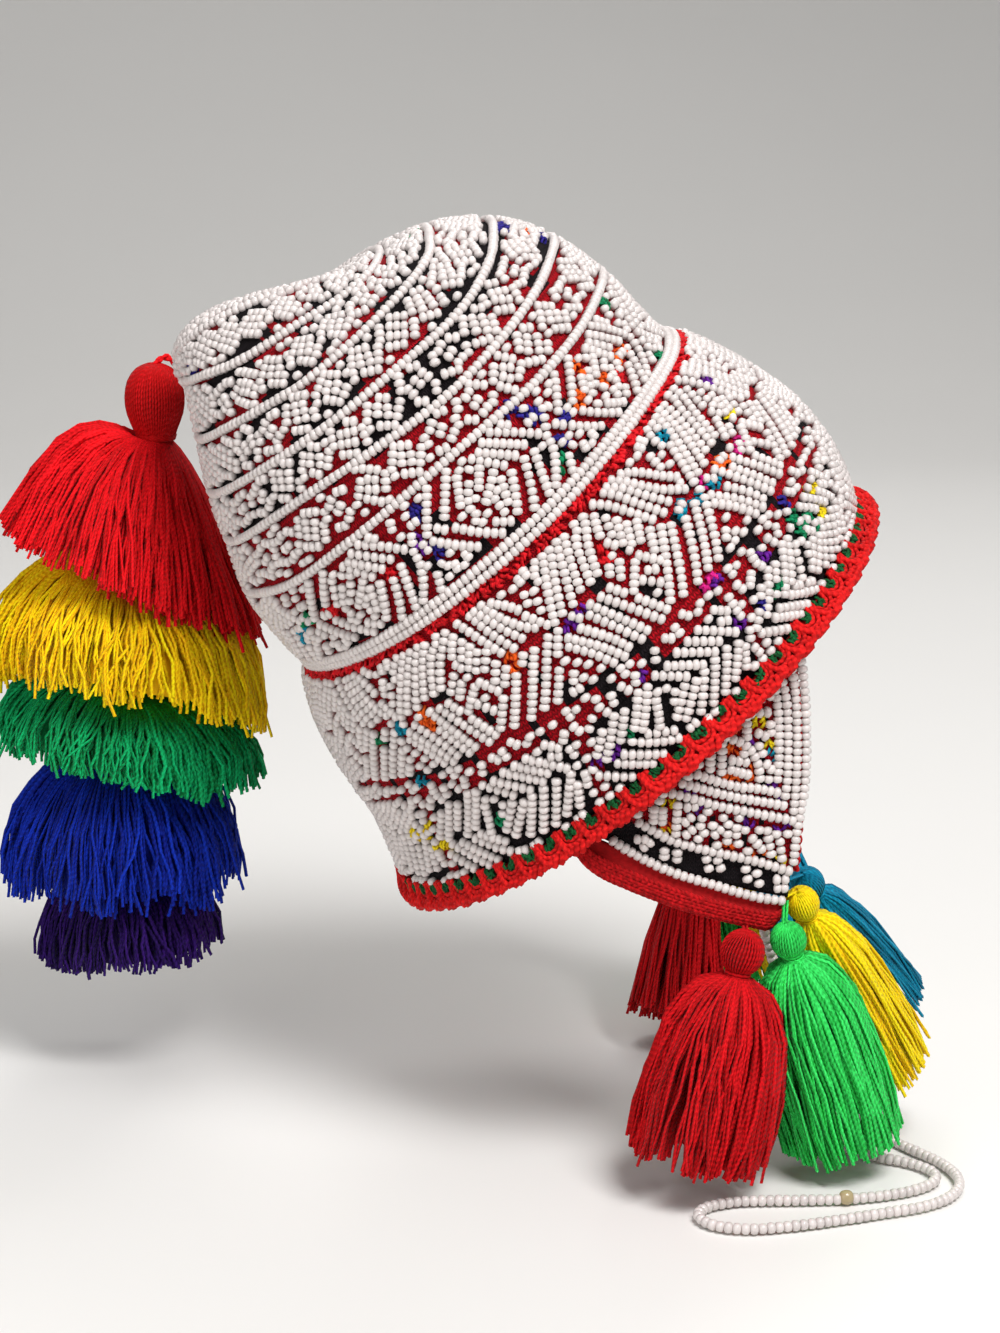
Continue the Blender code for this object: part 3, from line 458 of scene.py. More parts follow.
class ChulloStudioSettings(PropertyGroup):
    """Camera, floor and lights"""

    azimuth: FloatProperty(name="Azimuth", description="Camera turn round the hat, in degrees", default=-6.0)
    elevation: FloatProperty(
        name="Elevation", description="Camera height over the hat, in degrees", default=13.0
    )
    distance: size_property("Distance", "Camera to the opening's middle", 900.0)
    key_power: FloatProperty(name="Key light", description="Power in watts", default=21.0)
    fill_power: FloatProperty(name="Fill light", description="Power in watts", default=6.0)
    rim_power: FloatProperty(name="Rim light", description="Power in watts", default=7.0)
    floor: colour_property("Floor", "Pale plain floor", (232, 230, 227))


def spline_value(values, place):
    """Value of a smooth curve through evenly spaced values, at a fractional place."""
    last = len(values) - 1
    row = min(max(int(math.floor(place)), 0), last - 1)
    t = place - row
    before = values[row - 1] if row > 0 else 2 * values[0] - values[1]
    start = values[row]
    end = values[row + 1]
    after = values[row + 2] if row + 2 <= last else 2 * values[last] - values[last - 1]
    return 0.5 * (
        2 * start
        + (end - before) * t
        + (2 * before - 5 * start + 4 * end - after) * t * t
        + (3 * start - before - 3 * end + after) * t ** 3
    )


def ramp(place, places, values):
    """Straight-line value at a place between listed places."""
    if place <= places[0]:
        return values[0]
    for low, high, start, end in zip(places, places[1:], values, values[1:]):
        if place <= high:
            return start + (end - start) * (place - low) / (high - low)
    return values[-1]


def pairs(flat):
    """Places from a flat row of x and y in turn."""
    return list(zip(flat[::2], flat[1::2]))


def even_steps(points, pitch, closed=False):
    """Even steps along a line of points, each as the index of its span and a part of that span."""
    travelled = [0.0]
    for start, end in zip(points, points[1:]):
        travelled.append(travelled[-1] + (end - start).length)
    gaps = max(1, round(travelled[-1] / pitch))
    steps = []
    index = 0
    for step in range(gaps if closed else gaps + 1):
        target = travelled[-1] * step / gaps
        while index < len(points) - 2 and travelled[index + 1] < target:
            index += 1
        span = max(travelled[index + 1] - travelled[index], 1e-9)
        steps.append((index, min((target - travelled[index]) / span, 1.0)))
    return steps


def smooth_route(points, spacing):
    """Evenly spaced points on the smooth curve through a route."""
    columns = list(zip(*points))
    spans = len(points) - 1
    dense = [
        Vector([spline_value(column, step / ROUTE_DETAIL) for column in columns])
        for step in range(ROUTE_DETAIL * spans + 1)
    ]
    return [dense[index].lerp(dense[index + 1], part) for index, part in even_steps(dense, spacing)]


SECTION_COLUMNS = list(zip(*CROWN_SECTIONS))


def crown_section(row):
    """Centre, half chord, half width, sideways and dip vectors of the crown at a row."""
    front_x, front_z, back_x, back_z, half_width, dip, shift, roll = (
        spline_value(column, row) for column in SECTION_COLUMNS
    )
    front = Vector((front_x, shift, front_z))
    back = Vector((back_x, shift, back_z))
    half_chord = (front - back) / 2
    along = half_chord.normalized()
    upward = (CROWN_AXIS - CROWN_AXIS.dot(along) * along).normalized()
    turn = math.radians(roll)
    sideways = Vector((0.0, -math.cos(turn), 0.0)) + math.sin(turn) * upward
    return (front + back) / 2, half_chord.length, along, half_width, sideways, dip * upward


def crown_point(row, angle, inset=0.0):
    """Point of the crown at a row and an angle in degrees; inset moves it into the wall."""
    centre, half_length, along, half_width, sideways, dip = crown_section(row)
    inset = min(inset, 0.35 * half_width)
    turn = math.radians(angle)
    return (
        centre
        + math.cos(turn) * (half_length - inset) * along
        + math.sin(turn) * (half_width - inset) * sideways
        - math.sin(turn) ** 2 * dip
    )


def twisted(route, phase, step, reach, first, second):
    """One ply of a cord: a spiral round its route."""
    ply = []
    for index, point in enumerate(route):
        turn = phase + step * index
        ply.append(point + reach * (math.cos(turn) * first + math.sin(turn) * second))
    return ply


class CrownSurface:
    """The crown's outside. A spot is a row and an angle; right is to the front, up to the tip."""

    def point(self, spot, inset=0.0):
        return crown_point(spot[0], spot[1], inset)

    def slopes(self, spot):
        """Change of the point for one row and for one degree."""
        here = crown_point(*spot)
        reach = 0.05
        return (
            (crown_point(spot[0] + reach, spot[1]) - here) / reach,
            crown_point(spot[0], spot[1] + 1.0) - here,
        )

    def axes(self, spot):
        """Right and up along the surface, where right follows the row to the front."""
        per_row, per_degree = self.slopes(spot)
        right = -per_degree.normalized() if spot[1] >= 0 else per_degree.normalized()
        up = (per_row - per_row.dot(right) * right).normalized()
        return right, up


def flap_edge_point(across):
    """Point of the near flap's lower edge; across runs 0 at the front to 1 at the back."""
    start = mirrored(Vector(FLAP_TIP), -1.0)
    end = mirrored(Vector(FLAP_HEEL), -1.0)
    return start.lerp(end, across) - FLAP_SAG * math.sin(math.pi * across) * Z_AXIS


def flap_point(part, across):
    """Point of the near flap's outside; part runs 0 at the brim to 1 at the edge, and up inside below 0."""
    angle = FLAP_BASE_FRONT + (FLAP_BASE_BACK - FLAP_BASE_FRONT) * across
    if part < 0:
        return crown_point(-part * FLAP_TUCK_ROW, angle, FLAP_INSET)
    base = crown_point(0.0, angle, FLAP_INSET)
    bulge = FLAP_FRONT_BULGE * (1.0 - across) * math.sin(math.pi * part)
    return base.lerp(flap_edge_point(across), part) + bulge * X_AXIS


class FlapSurface:
    """The flap's outside as seen from its side. A spot is x and z in millimetres."""

    def point(self, spot, inset=0.0):
        """Point at a spot, found in a few steps from the flap's middle."""
        part = 0.5
        across = 0.5
        for _ in range(5):
            here = flap_point(part, across)
            per_part = (flap_point(part + 0.02, across) - here) / 0.02
            per_across = (flap_point(part, across + 0.02) - here) / 0.02
            miss_x = spot[0] - here.x
            miss_z = spot[1] - here.z
            span = per_part.x * per_across.z - per_part.z * per_across.x
            part += (miss_x * per_across.z - miss_z * per_across.x) / span
            across += (per_part.x * miss_z - per_part.z * miss_x) / span
            part = min(max(part, 0.0), 1.05)
            across = min(max(across, -0.05), 1.05)
        here = flap_point(part, across)
        return Vector((spot[0], here.y + inset, spot[1]))

    def slopes(self, spot):
        return X_AXIS, Z_AXIS

    axes = slopes


def moved(surface, spot, shift):
    """Spot after a move along the surface by a vector, in short steps of its full length."""
    steps = max(1, math.ceil(shift.length / 3.0))
    part = shift / steps
    for _ in range(steps):
        first, second = surface.slopes(spot)
        a = first.dot(first)
        b = first.dot(second)
        c = second.dot(second)
        p = first.dot(part)
        q = second.dot(part)
        span = a * c - b * b
        step = Vector(((c * p - b * q) / span, (a * q - b * p) / span))
        travelled = (first * step[0] + second * step[1]).length
        if travelled > 0.01:
            step *= min(part.length / travelled, 2.5)
        spot = (spot[0] + step[0], spot[1] + step[1])
    return spot


class BeadField:
    """Places of beads on one surface, with a search grid that keeps them apart."""

    CELL = 3.0

    def __init__(self, surface, inset, pitch):
        self.surface = surface
        self.inset = inset
        self.pitch = pitch
        self.spots = []
        self.places = []
        self.threads = []
        self.grid = {}

    def key(self, place):
        return tuple(int(math.floor(value / self.CELL)) for value in place)

    def is_free(self, place, reach):
        """Whether no earlier bead lies within reach of a place."""
        x, y, z = self.key(place)
        for cell in ((x + i, y + j, z + k) for i in (-1, 0, 1) for j in (-1, 0, 1) for k in (-1, 0, 1)):
            if any((other - place).length < reach for other in self.grid.get(cell, ())):
                return False
        return True

    def add(self, spots, reach, allowed=None):
        """Thread beads through spots, leaving out those that others or the limits don't let in."""
        places = [self.surface.point(spot, self.inset) for spot in spots]
        added = []
        for index, (spot, place) in enumerate(zip(spots, places)):
            if allowed is not None and not allowed(spot):
                continue
            if not self.is_free(place, reach):
                continue
            thread = places[min(index + 1, len(places) - 1)] - places[max(index - 1, 0)]
            if thread.length < 1e-6:
                thread = self.surface.axes(spot)[1]
            self.spots.append(spot)
            self.threads.append(thread.normalized())
            added.append(place)
        self.places += added
        for place in added:
            self.grid.setdefault(self.key(place), []).append(place)

    def add_if_clear(self, spots, reach, allowed):
        """Thread a whole string if each bead of it is allowed and clear of the others; say whether."""
        points = [self.surface.point(spot, self.inset) for spot in spots]
        clear = all(allowed(spot) for spot in spots) and all(self.is_free(point, reach) for point in points)
        if clear:
            self.add(spots, 0.5)
        return clear

    def string_spots(self, middle, heading, beads):
        """Spots of a straight string about its middle; heading 0 is right, 90 is up."""
        right, up = self.surface.axes(middle)
        turn = math.radians(heading)
        direction = math.cos(turn) * right + math.sin(turn) * up
        half = (beads - 1) / 2
        return [
            moved(self.surface, middle, (index - half) * self.pitch * direction) for index in range(beads)
        ]

    def offset(self, spot, x, y):
        """Spot at x and y millimetres from another."""
        right, up = self.surface.axes(spot)
        return moved(self.surface, spot, x * right + y * up)


def line_row(name, angle):
    """Row of a listed line, or of a level one, at an angle of either side."""
    if not isinstance(name, str):
        return name
    return spline_value(LINES[name], abs(angle) / LINE_STEP)


def half_turn(angle):
    """The same angle between -180 and 180 degrees."""
    return (angle + 180.0) % 360.0 - 180.0


def even_spots(field, dense, pitch, closed=False):
    """Spots at an even pitch along a dense route of spots."""
    points = [field.surface.point(spot, field.inset) for spot in dense]
    return [
        tuple(a + (b - a) * part for a, b in zip(dense[index], dense[index + 1]))
        for index, part in even_steps(points, pitch, closed)
    ]


def lay_lines(field):
    """Single strings all the way round the crown."""
    for name in STRING_LINES:
        dense = [(line_row(name, angle), float(angle)) for angle in range(-180, 181, 2)]
        field.add(even_spots(field, dense, field.pitch * LINE_PITCH_SHARE, closed=True), 1.2)


def lay_rosettes(field, chance):
    """Rings of rosettes between the lines."""
    for ring in ROSETTE_RINGS:
        for index in range(ring.count):
            angle = half_turn(ring.first_angle + 360 * index / ring.count)
            row = (line_row(ring.below, angle) + line_row(ring.above, angle)) / 2
            tilt = ROSETTE_TILT if angle >= 0 else -ROSETTE_TILT
            tilt += chance.choice((0, 0, 90)) + chance.uniform(-12, 12)
            turn = math.radians(tilt)
            for across, up, heading, beads in chance.choice(ROSETTE_FORMS):
                x = ring.size * (across * math.cos(turn) - up * math.sin(turn)) + chance.uniform(-0.25, 0.25)
                y = ring.size * (across * math.sin(turn) + up * math.cos(turn)) + chance.uniform(-0.25, 0.25)
                heading = heading + tilt + chance.uniform(-9, 9)
                field.add(field.string_spots(field.offset((row, angle), x, y), heading, beads), 1.8)


def chart_spot(cell, turn, x, y):
    """Spot on the crown of a place in a cell's chart, so many cells round."""
    cell_turn = 360.0 / CELLS_ROUND
    angle = cell.angle + cell_turn * (turn + x / cell.width)
    low = line_row(cell.low, half_turn(angle))
    high = line_row(cell.high, half_turn(angle))
    return low + (high - low) * y / cell.height, angle


def lay_cells(field):
    """The charted strings of the three figured bands, clear of the edging and of the coloured wool."""
    wools = [
        (crown_point(wool.row, side * wool.angle), WOOL_CLEARING * (wool.width + wool.height))
        for wool in CROWN_WOOL for side in (-1, 1)
    ]

    def allowed(spot):
        place = crown_point(*spot)
        return spot[0] > LOWEST_BEAD_ROW and all((place - middle).length > reach for middle, reach in wools)

    for cell in CELLS:
        for turn in range(CELLS_ROUND):
            for string in cell.strings:
                route = pairs(string)
                if len(route) == 1:
                    spots = [chart_spot(cell, turn, *route[0])]
                else:
                    dense = [chart_spot(cell, turn, *place) for place in smooth_route(route, 0.5)]
                    spots = even_spots(field, dense, field.pitch)
                field.add([(row, half_turn(angle)) for row, angle in spots], 1.75, allowed)


def fill_between(field, low, high, chance, reach, sizes=(4, 3, 2, 1)):
    """Short strings at mixed headings in what is still bare, each bead clear of the others by a reach."""
    def within(spot):
        return line_row(low, spot[1]) < spot[0] < line_row(high, spot[1])

    row = min(line_row(low, angle) for angle in range(0, 181, 20))
    top = max(line_row(high, angle) for angle in range(0, 181, 20))
    while row < top:
        angle = -180.0
        while angle < 180.0:
            spot = (row + chance.uniform(-0.04, 0.04), angle)
            angle += FILL_PITCH / max(field.surface.slopes(spot)[1].length, 0.1)
            if not within(spot) or not field.is_free(field.surface.point(spot, field.inset), reach):
                continue
            tries = [(beads, heading) for beads in sizes for heading in chance.sample(HEADINGS, 4)]
            for beads, heading in tries:
                spots = field.string_spots(spot, heading + chance.uniform(-10, 10), beads)
                if field.add_if_clear(spots, reach, within):
                    break
        row += FILL_ROWS


def lay_crown_beads(beads):
    """Every seed bead of the crown."""
    chance = random.Random(beads.seed)
    field = BeadField(CrownSurface(), 1.1, beads.pitch / MM)
    lay_lines(field)
    lay_cells(field)
    lay_rosettes(field, chance)
    fill_between(field, "crest_low", 14.9, chance, CREST_REACH)
    for low, high in ((2.0, "main_band_top"), (5.75, "line_five"), (LOWEST_BEAD_ROW, 1.35)):
        fill_between(field, low, high, chance, HOLE_REACH, (2, 1))
    for ring in ROSETTE_RINGS:
        fill_between(field, ring.below, ring.above, chance, ROSETTE_REACH, (1,))
    return field


def lay_flap_beads(beads):
    """Every seed bead of the near flap."""
    chance = random.Random(beads.seed + 1)
    pitch = beads.pitch / MM
    field = BeadField(FlapSurface(), 0.0, pitch)
    for route in (FLAP_BORDER_TOP, FLAP_BORDER_LOW) + FLAP_STRINGS:
        field.add([tuple(point) for point in smooth_route(pairs(route), pitch)], 1.6)
    for z in range(-36, 34, 2):
        for step in range(-20, 38, 2):
            spot = (step + (z % 4) / 2 + chance.uniform(-0.4, 0.4), z + chance.uniform(-0.3, 0.3))
            if not flap_fill_allowed(spot):
                continue
            for count in (3, 2, 1):
                spots = field.string_spots(spot, chance.choice((0, 40, 90, 130)), count)
                if field.add_if_clear(spots, 2.25, flap_fill_allowed):
                    break
    return field


def route_height(route, x):
    """Height of a flap route at an x."""
    return ramp(x, route[::2], route[1::2])


def flap_fill_allowed(spot):
    """Whether a filling bead may lie there: above the border, on the flap and not in the bare spots."""
    x, z = spot
    if x < -16.0 or x > 36.0 or z < route_height(FLAP_BORDER_TOP, x) + 1.5:
        return False
    if z > ramp(x, (-20.0, 0.0, 36.0), (-14.0, 2.0, 34.0)):
        return False
    return all(
        math.hypot((x - wool.row) / (wool.width / 2), (z - wool.angle) / (wool.height / 2)) > 1.0
        for wool in FLAP_WOOL
    )


def plain_mesh(name, rings, close_ends=True, close_rings=False, flat_ends=False):
    """Mesh through rings of equal length, in millimetres, faces outwards."""
    shape = bmesh.new()
    grid = [[shape.verts.new(point * MM) for point in ring] for ring in rings]
    sides = len(rings[0])
    spans = len(rings) if close_rings else len(rings) - 1
    for row in range(spans):
        lower = grid[row]
        upper = grid[(row + 1) % len(rings)]
        for side in range(sides):
            after = (side + 1) % sides
            shape.faces.new((lower[side], lower[after], upper[after], upper[side]))
    if flat_ends:
        shape.faces.new(grid[0])
        shape.faces.new(grid[-1])
    elif close_ends:
        for ring in (grid[0], grid[-1]):
            middle = sum((vertex.co for vertex in ring), Vector()) / sides
            hub = shape.verts.new(middle)
            for side in range(sides):
                shape.faces.new((ring[side], ring[(side + 1) % sides], hub))
    bmesh.ops.recalc_face_normals(shape, faces=shape.faces[:])
    if shape.calc_volume(signed=True) < 0:
        bmesh.ops.reverse_faces(shape, faces=shape.faces[:])
    mesh = bpy.data.meshes.new(name)
    shape.to_mesh(mesh)
    shape.free()
    mesh.shade_smooth()
    return mesh


def show(mesh, material=None):
    """Put a mesh in the scene under its own name as one object at the origin."""
    item = bpy.data.objects.new(mesh.name, mesh)
    bpy.context.scene.collection.objects.link(item)
    if material is not None:
        mesh.materials.append(material)
    return item


def finish_piece(item, slot, *nodes):
    """Hang a finished piece on the hat's body and hide the nodes that it stands for; the slot is not used.
    """
    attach(item, BODY)
    if nodes:
        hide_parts(*nodes)


def mirrored(point, sign):
    """The same place for sign 1, or the one across the hat's middle for sign -1."""
    return Vector((point.x, sign * point.y, point.z))


class NodeBuilder:
    """Small help for node trees: adds nodes in columns, with their inputs set or linked."""

    COLUMN_WIDTH = 190

    def __init__(self, tree):
        self.tree = tree
        self.column = 0

    def add(self, kind, inputs=None, **settings):
        """New node; each input is a plain value, or the node or output that feeds it."""
        node = self.tree.nodes.new(kind)
        node.location = (self.column * self.COLUMN_WIDTH, 0)
        self.column += 1
        for key, value in settings.items():
            setattr(node, key, value)
        for key, value in (inputs or {}).items():
            self.feed(node.inputs[key], value)
        return node

    def feed(self, socket, value):
        """Set a socket, or link it to an output or to a node's first one."""
        if isinstance(value, bpy.types.Node):
            value = value.outputs[0]
        if isinstance(value, bpy.types.NodeSocket):
            self.tree.links.new(value, socket)
        else:
            socket.default_value = value

    def math(self, operation, *values):
        """Output of a Math node of one to three values."""
        return self.add("ShaderNodeMath", dict(enumerate(values)), operation=operation).outputs[0]

    def attribute(self, name, output="Fac"):
        """Output of an attribute of the mesh."""
        return self.add("ShaderNodeAttribute", attribute_name=name).outputs[output]


def store(mesh, name, values, domain="POINT", kind="FLOAT", field="value"):
    """Keep values on a mesh under a name."""
    mesh.attributes.new(name, kind, domain).data.foreach_set(field, values)


def made_once(collection):
    """For makers of named data: what Blender already has under that name is given again."""
    def wrap(make):
        def remembered(name, *values, **named_values):
            return getattr(bpy.data, collection).get(name) or make(name, *values, **named_values)

        return remembered

    return wrap


def new_tree(name, kind, inputs, output):
    """Node tree with named inputs and one output; gives its builder and what comes in."""
    tree = bpy.data.node_groups.new(name, kind)
    for label, socket_type in inputs.items():
        tree.interface.new_socket(label, in_out="INPUT", socket_type=f"NodeSocket{socket_type}")
    tree.interface.new_socket(output[0], in_out="OUTPUT", socket_type=f"NodeSocket{output[1]}")
    build = NodeBuilder(tree)
    return build, build.add("NodeGroupInput").outputs


def end_geometry_tree(build, shape, finish):
    """Make the shape real, give it its finish and send it out."""
    real = build.add("GeometryNodeRealizeInstances", {0: shape})
    finished = build.add("GeometryNodeSetMaterial", {"Geometry": real, "Material": finish})
    build.add("NodeGroupOutput", {0: finished})
    return build.tree


@made_once("node_groups")
def bead_tree(name):
    """Geometry nodes that thread one bead on every point, along its thread."""
    build, given = new_tree(name, "GeometryNodeTree", {
        "Geometry": "Geometry", "Bead": "Object", "Diameter": "Float", "Length": "Float",
        "Unevenness": "Float", "Seed": "Int", "Finish": "Material",
    }, ("Geometry", "Geometry"))
    bead = build.add("GeometryNodeObjectInfo", {"Object": given["Bead"]})
    thread = build.add("GeometryNodeInputNamedAttribute", {"Name": "thread"}, data_type="FLOAT_VECTOR")
    aim = build.add("FunctionNodeAlignRotationToVector", {"Vector": thread.outputs["Attribute"]}, axis="Z")
    smallest = build.math("SUBTRACT", 1.0, given["Unevenness"])
    largest = build.math("ADD", 1.0, given["Unevenness"])
    share = build.add("FunctionNodeRandomValue", {2: smallest, 3: largest, "Seed": given["Seed"]})
    tint = build.add("FunctionNodeRandomValue", {"Seed": build.math("ADD", given["Seed"], 1.0)})
    across = build.math("MULTIPLY", given["Diameter"], share.outputs[1])
    size = build.add("ShaderNodeCombineXYZ", {0: across, 1: across, 2: given["Length"]})
    strung = build.add("GeometryNodeInstanceOnPoints", {
        "Points": given["Geometry"], "Instance": bead.outputs["Geometry"], "Rotation": aim, "Scale": size,
    })
    tinted = build.add("GeometryNodeStoreNamedAttribute", {
        "Geometry": strung, "Name": "tint", "Value": tint.outputs[1],
    }, domain="INSTANCE")
    return end_geometry_tree(build, tinted, given["Finish"])


@made_once("node_groups")
def yarn_tree(name):
    """Geometry nodes that turn open lines into round strands with a twist to read."""
    build, given = new_tree(name, "GeometryNodeTree", {
        "Geometry": "Geometry", "Width": "Float", "Sides": "Int", "Finish": "Material",
    }, ("Geometry", "Geometry"))
    line = build.add("GeometryNodeMeshToCurve", {"Mesh": given["Geometry"]})
    length = build.add("GeometryNodeSplineParameter").outputs["Length"]
    along = build.add("GeometryNodeStoreNamedAttribute", {
        "Geometry": line, "Name": "along", "Value": length,
    })
    thickness = build.add("GeometryNodeInputNamedAttribute", {"Name": "thickness"})
    radius = build.math("MULTIPLY", given["Width"], 0.5)
    ring = build.add("GeometryNodeCurvePrimitiveCircle", {"Resolution": given["Sides"], "Radius": radius})
    place = build.add("GeometryNodeInputPosition")
    outward = build.add("ShaderNodeVectorMath", {0: place}, operation="NORMALIZE")
    around = build.add("GeometryNodeStoreNamedAttribute", {
        "Geometry": ring, "Name": "around", "Value": outward,
    }, data_type="FLOAT_VECTOR")
    swept = build.add("GeometryNodeCurveToMesh", {
        "Curve": along, "Profile Curve": around, "Scale": thickness.outputs["Attribute"], "Fill Caps": True,
    })
    smooth = build.add("GeometryNodeSetShadeSmooth", {"Geometry": swept})
    return end_geometry_tree(build, smooth, given["Finish"])


def grow(mesh, name, tree, values):
    """Run a tree on a mesh and return the result as a plain object."""
    source = show(mesh)
    modifier = source.modifiers.new(tree.name, "NODES")
    modifier.node_group = tree
    for socket in tree.interface.items_tree:
        if socket.item_type == "SOCKET" and socket.in_out == "INPUT" and socket.name in values:
            modifier[socket.identifier] = values[socket.name]
    depsgraph = bpy.context.evaluated_depsgraph_get()
    result = bpy.data.meshes.new_from_object(source.evaluated_get(depsgraph), depsgraph=depsgraph)
    source.modifiers.clear()
    bpy.data.objects.remove(source)
    if not result.polygons:
        raise RuntimeError(f"{name} came out empty")
    result.name = name
    return show(result)


def bead_form(name, profile, sides):
    """One bead of unit size about its hole, turned from a profile of radius and height shares."""
    turns = [2 * math.pi * side / sides for side in range(sides)]
    rings = [
        [
            Vector((radius / 2 * math.cos(turn), radius / 2 * math.sin(turn), height / 2)) / MM
            for turn in turns
        ]
        for radius, height in profile
    ]
    return plain_mesh(name, rings, flat_ends=True)


SEED_BEAD_PROFILE = ((0.56, 1.0), (1.02, 0.5), (1.02, -0.5), (0.56, -1.0))
STRAP_BEAD_PROFILE = ((0.5, 0.98), (0.9, 0.66), (1.0, 0.0), (0.9, -0.66), (0.5, -0.98))


def string_beads(name, places, threads, form, sizes, seed, material, *nodes):
    """One piece of beads at places along threads, in millimetres; sizes are the beads' own, in metres."""
    mesh = bpy.data.meshes.new(f"{name}_places")
    mesh.from_pydata([place * MM for place in places], [], [])
    flat_threads = [value for direction in threads for value in direction]
    store(mesh, "thread", flat_threads, kind="FLOAT_VECTOR", field="vector")
    bead = bpy.data.objects.new(f"{name}_form", form)
    values = dict(zip(("Diameter", "Length", "Unevenness"), sizes), Bead=bead, Seed=seed, Finish=material)
    finish_piece(grow(mesh, name, bead_tree("Strung beads"), values), "white_beads", *nodes)
    bpy.data.objects.remove(bead)


def seed_bead_sizes(beads):
    """Diameter, length and unevenness of the seed beads."""
    return beads.diameter, beads.length, beads.unevenness


class Yarn:
    """Open lines, each with a thickness share at its points and one shade."""

    def __init__(self):
        self.points = []
        self.edges = []
        self.thickness = []
        self.shade = []

    def strand(self, points, thickness=1.0, shade=0.5, taper=1.0):
        """Add one line; taper is its thickness at the far end as a share."""
        first = len(self.points)
        last = len(points) - 1
        for index, point in enumerate(points):
            self.points.append(point * MM)
            self.thickness.append(thickness * (1.0 - (1.0 - taper) * index / last))
            self.shade.append(shade)
        self.edges += [(first + index, first + index + 1) for index in range(last)]

    def spin(self, name, width, sides, material, slot, *nodes):
        """Make the strands one piece; the width is in metres."""
        mesh = bpy.data.meshes.new(f"{name}_lines")
        mesh.from_pydata(self.points, self.edges, [])
        store(mesh, "thickness", self.thickness)
        store(mesh, "shade", self.shade)
        values = {"Width": width, "Sides": sides, "Finish": material}
        finish_piece(grow(mesh, name, yarn_tree("Yarn strands"), values), slot, *nodes)


@made_once("node_groups")
def drift_group(name):
    """Shader group: slow change of shade over a surface, from the object's own coordinates."""
    build, given = new_tree(name, "ShaderNodeTree", {"Size": "Float", "Amount": "Float"}, ("Share", "Float"))
    where = build.add("ShaderNodeTexCoord").outputs["Object"]
    noise = build.add("ShaderNodeTexNoise", {"Detail": 3.0, "Vector": where, "Scale": given["Size"]})
    spread = build.math("MULTIPLY", build.math("SUBTRACT", noise.outputs[0], 0.5), given["Amount"])
    build.add("NodeGroupOutput", {"Share": build.math("ADD", spread, 1.0)})
    return build.tree


@made_once("node_groups")
def ply_group(name):
    """Shader group: the twist of a yarn's plies, from the strand's own coordinates."""
    build, given = new_tree(name, "ShaderNodeTree", {"Pitch": "Float"}, ("Height", "Float"))
    side = build.add("ShaderNodeSeparateXYZ", {0: build.attribute("around", "Vector")})
    turns = build.math("DIVIDE", build.attribute("along"), given["Pitch"])
    turns = build.math("MULTIPLY", turns, 2 * math.pi)
    # Each strand starts its twist elsewhere, so that neighbours don't line up
    turns = build.math("ADD", turns, build.math("MULTIPLY", build.attribute("shade"), 97.0))
    across = build.math("MULTIPLY", build.math("COSINE", turns), side.outputs[0])
    upright = build.math("MULTIPLY", build.math("SINE", turns), side.outputs[1])
    wave = build.math("ADD", across, upright)
    build.add("NodeGroupOutput", {"Height": build.math("MULTIPLY_ADD", wave, 0.5, 0.5)})
    return build.tree


def new_material(name, sockets):
    """Material with the given values on its shader's own sockets, that shader and a builder."""
    material = bpy.data.materials.new(name)
    material.use_nodes = True
    shader = material.node_tree.nodes["Principled BSDF"]
    build = NodeBuilder(material.node_tree)
    for label, value in sockets.items():
        build.feed(shader.inputs[label], value)
    return material, shader, build


def add_group(build, group, inputs):
    """Output of a shader group with its inputs set."""
    return build.add("ShaderNodeGroup", node_tree=group, inputs=inputs).outputs[0]


def add_drift(build, size, amount):
    """Share by which the shade drifts over a surface."""
    return add_group(build, drift_group("Colour drift"), {"Size": size, "Amount": amount})


def shaded_colour(build, colour, share):
    """Colour times a share that changes over the surface."""
    return build.add("ShaderNodeVectorMath", {0: colour, "Scale": share}, operation="SCALE").outputs[0]


def add_bump(build, shader, height, strength, distance):
    """Bump from a height; the distance is in metres."""
    bump = build.add("ShaderNodeBump", {"Strength": strength, "Distance": distance, "Height": height})
    build.feed(shader.inputs["Normal"], bump)


@made_once("materials")
def glass_material(name, colour, roughness=0.28):
    """Opaque bead glass with a soft gloss; beads differ a little in shade."""
    material, shader, build = new_material(name, {
        "Roughness": roughness, "Coat Weight": 0.25, "Coat Roughness": 0.12,
    })
    by_bead = build.math("MULTIPLY_ADD", build.attribute("tint"), 0.14, 0.88)
    share = build.math("MULTIPLY", by_bead, add_drift(build, 25.0, 0.12))
    build.feed(shader.inputs["Base Color"], shaded_colour(build, colour, share))
    return material


@made_once("materials")
def yarn_material(name, colour, pitch, bump=0.4, variation=0.6, painted_shade_depth=0.55):
    """Twisted wool: plies as bump and as painted shade between them, strands of differing shade, a faint
    sheen.
    """
    material, shader, build = new_material(name, {
        "Roughness": 0.75, "Sheen Weight": 0.03, "Sheen Roughness": 0.4, "Specular IOR Level": 0.15,
    })
    ply = add_group(build, ply_group("Yarn ply"), {"Pitch": pitch})
    by_strand = build.math("MULTIPLY", build.math("SUBTRACT", build.attribute("shade"), 0.5), variation)
    by_ply = build.math("MULTIPLY", build.math("SUBTRACT", ply, 0.5), 0.4)
    by_place = build.math("SUBTRACT", add_drift(build, 700.0, 0.5), 0.5)
    # From the dark colour to the light one: painted shade between the plies and painted highlight on their
    # tops, strands of differing tone and a slow drift. Pieces with no shade attribute, such as cores and
    # backings, come out in the dark colour, which is painted shade.
    mix = build.add("ShaderNodeMix", data_type="RGBA", inputs={
        "Factor": build.math("ADD", build.math("ADD", by_strand, by_ply), by_place),
        "A": (*(painted_shade_depth * part ** 1.4 for part in colour), 1.0),
        "B": (*(min(1.0, 1.4 * part + 0.003) for part in colour), 1.0),
    })
    build.feed(shader.inputs["Base Color"], mix.outputs["Result"])
    add_bump(build, shader, ply, bump, 0.0006)
    return material


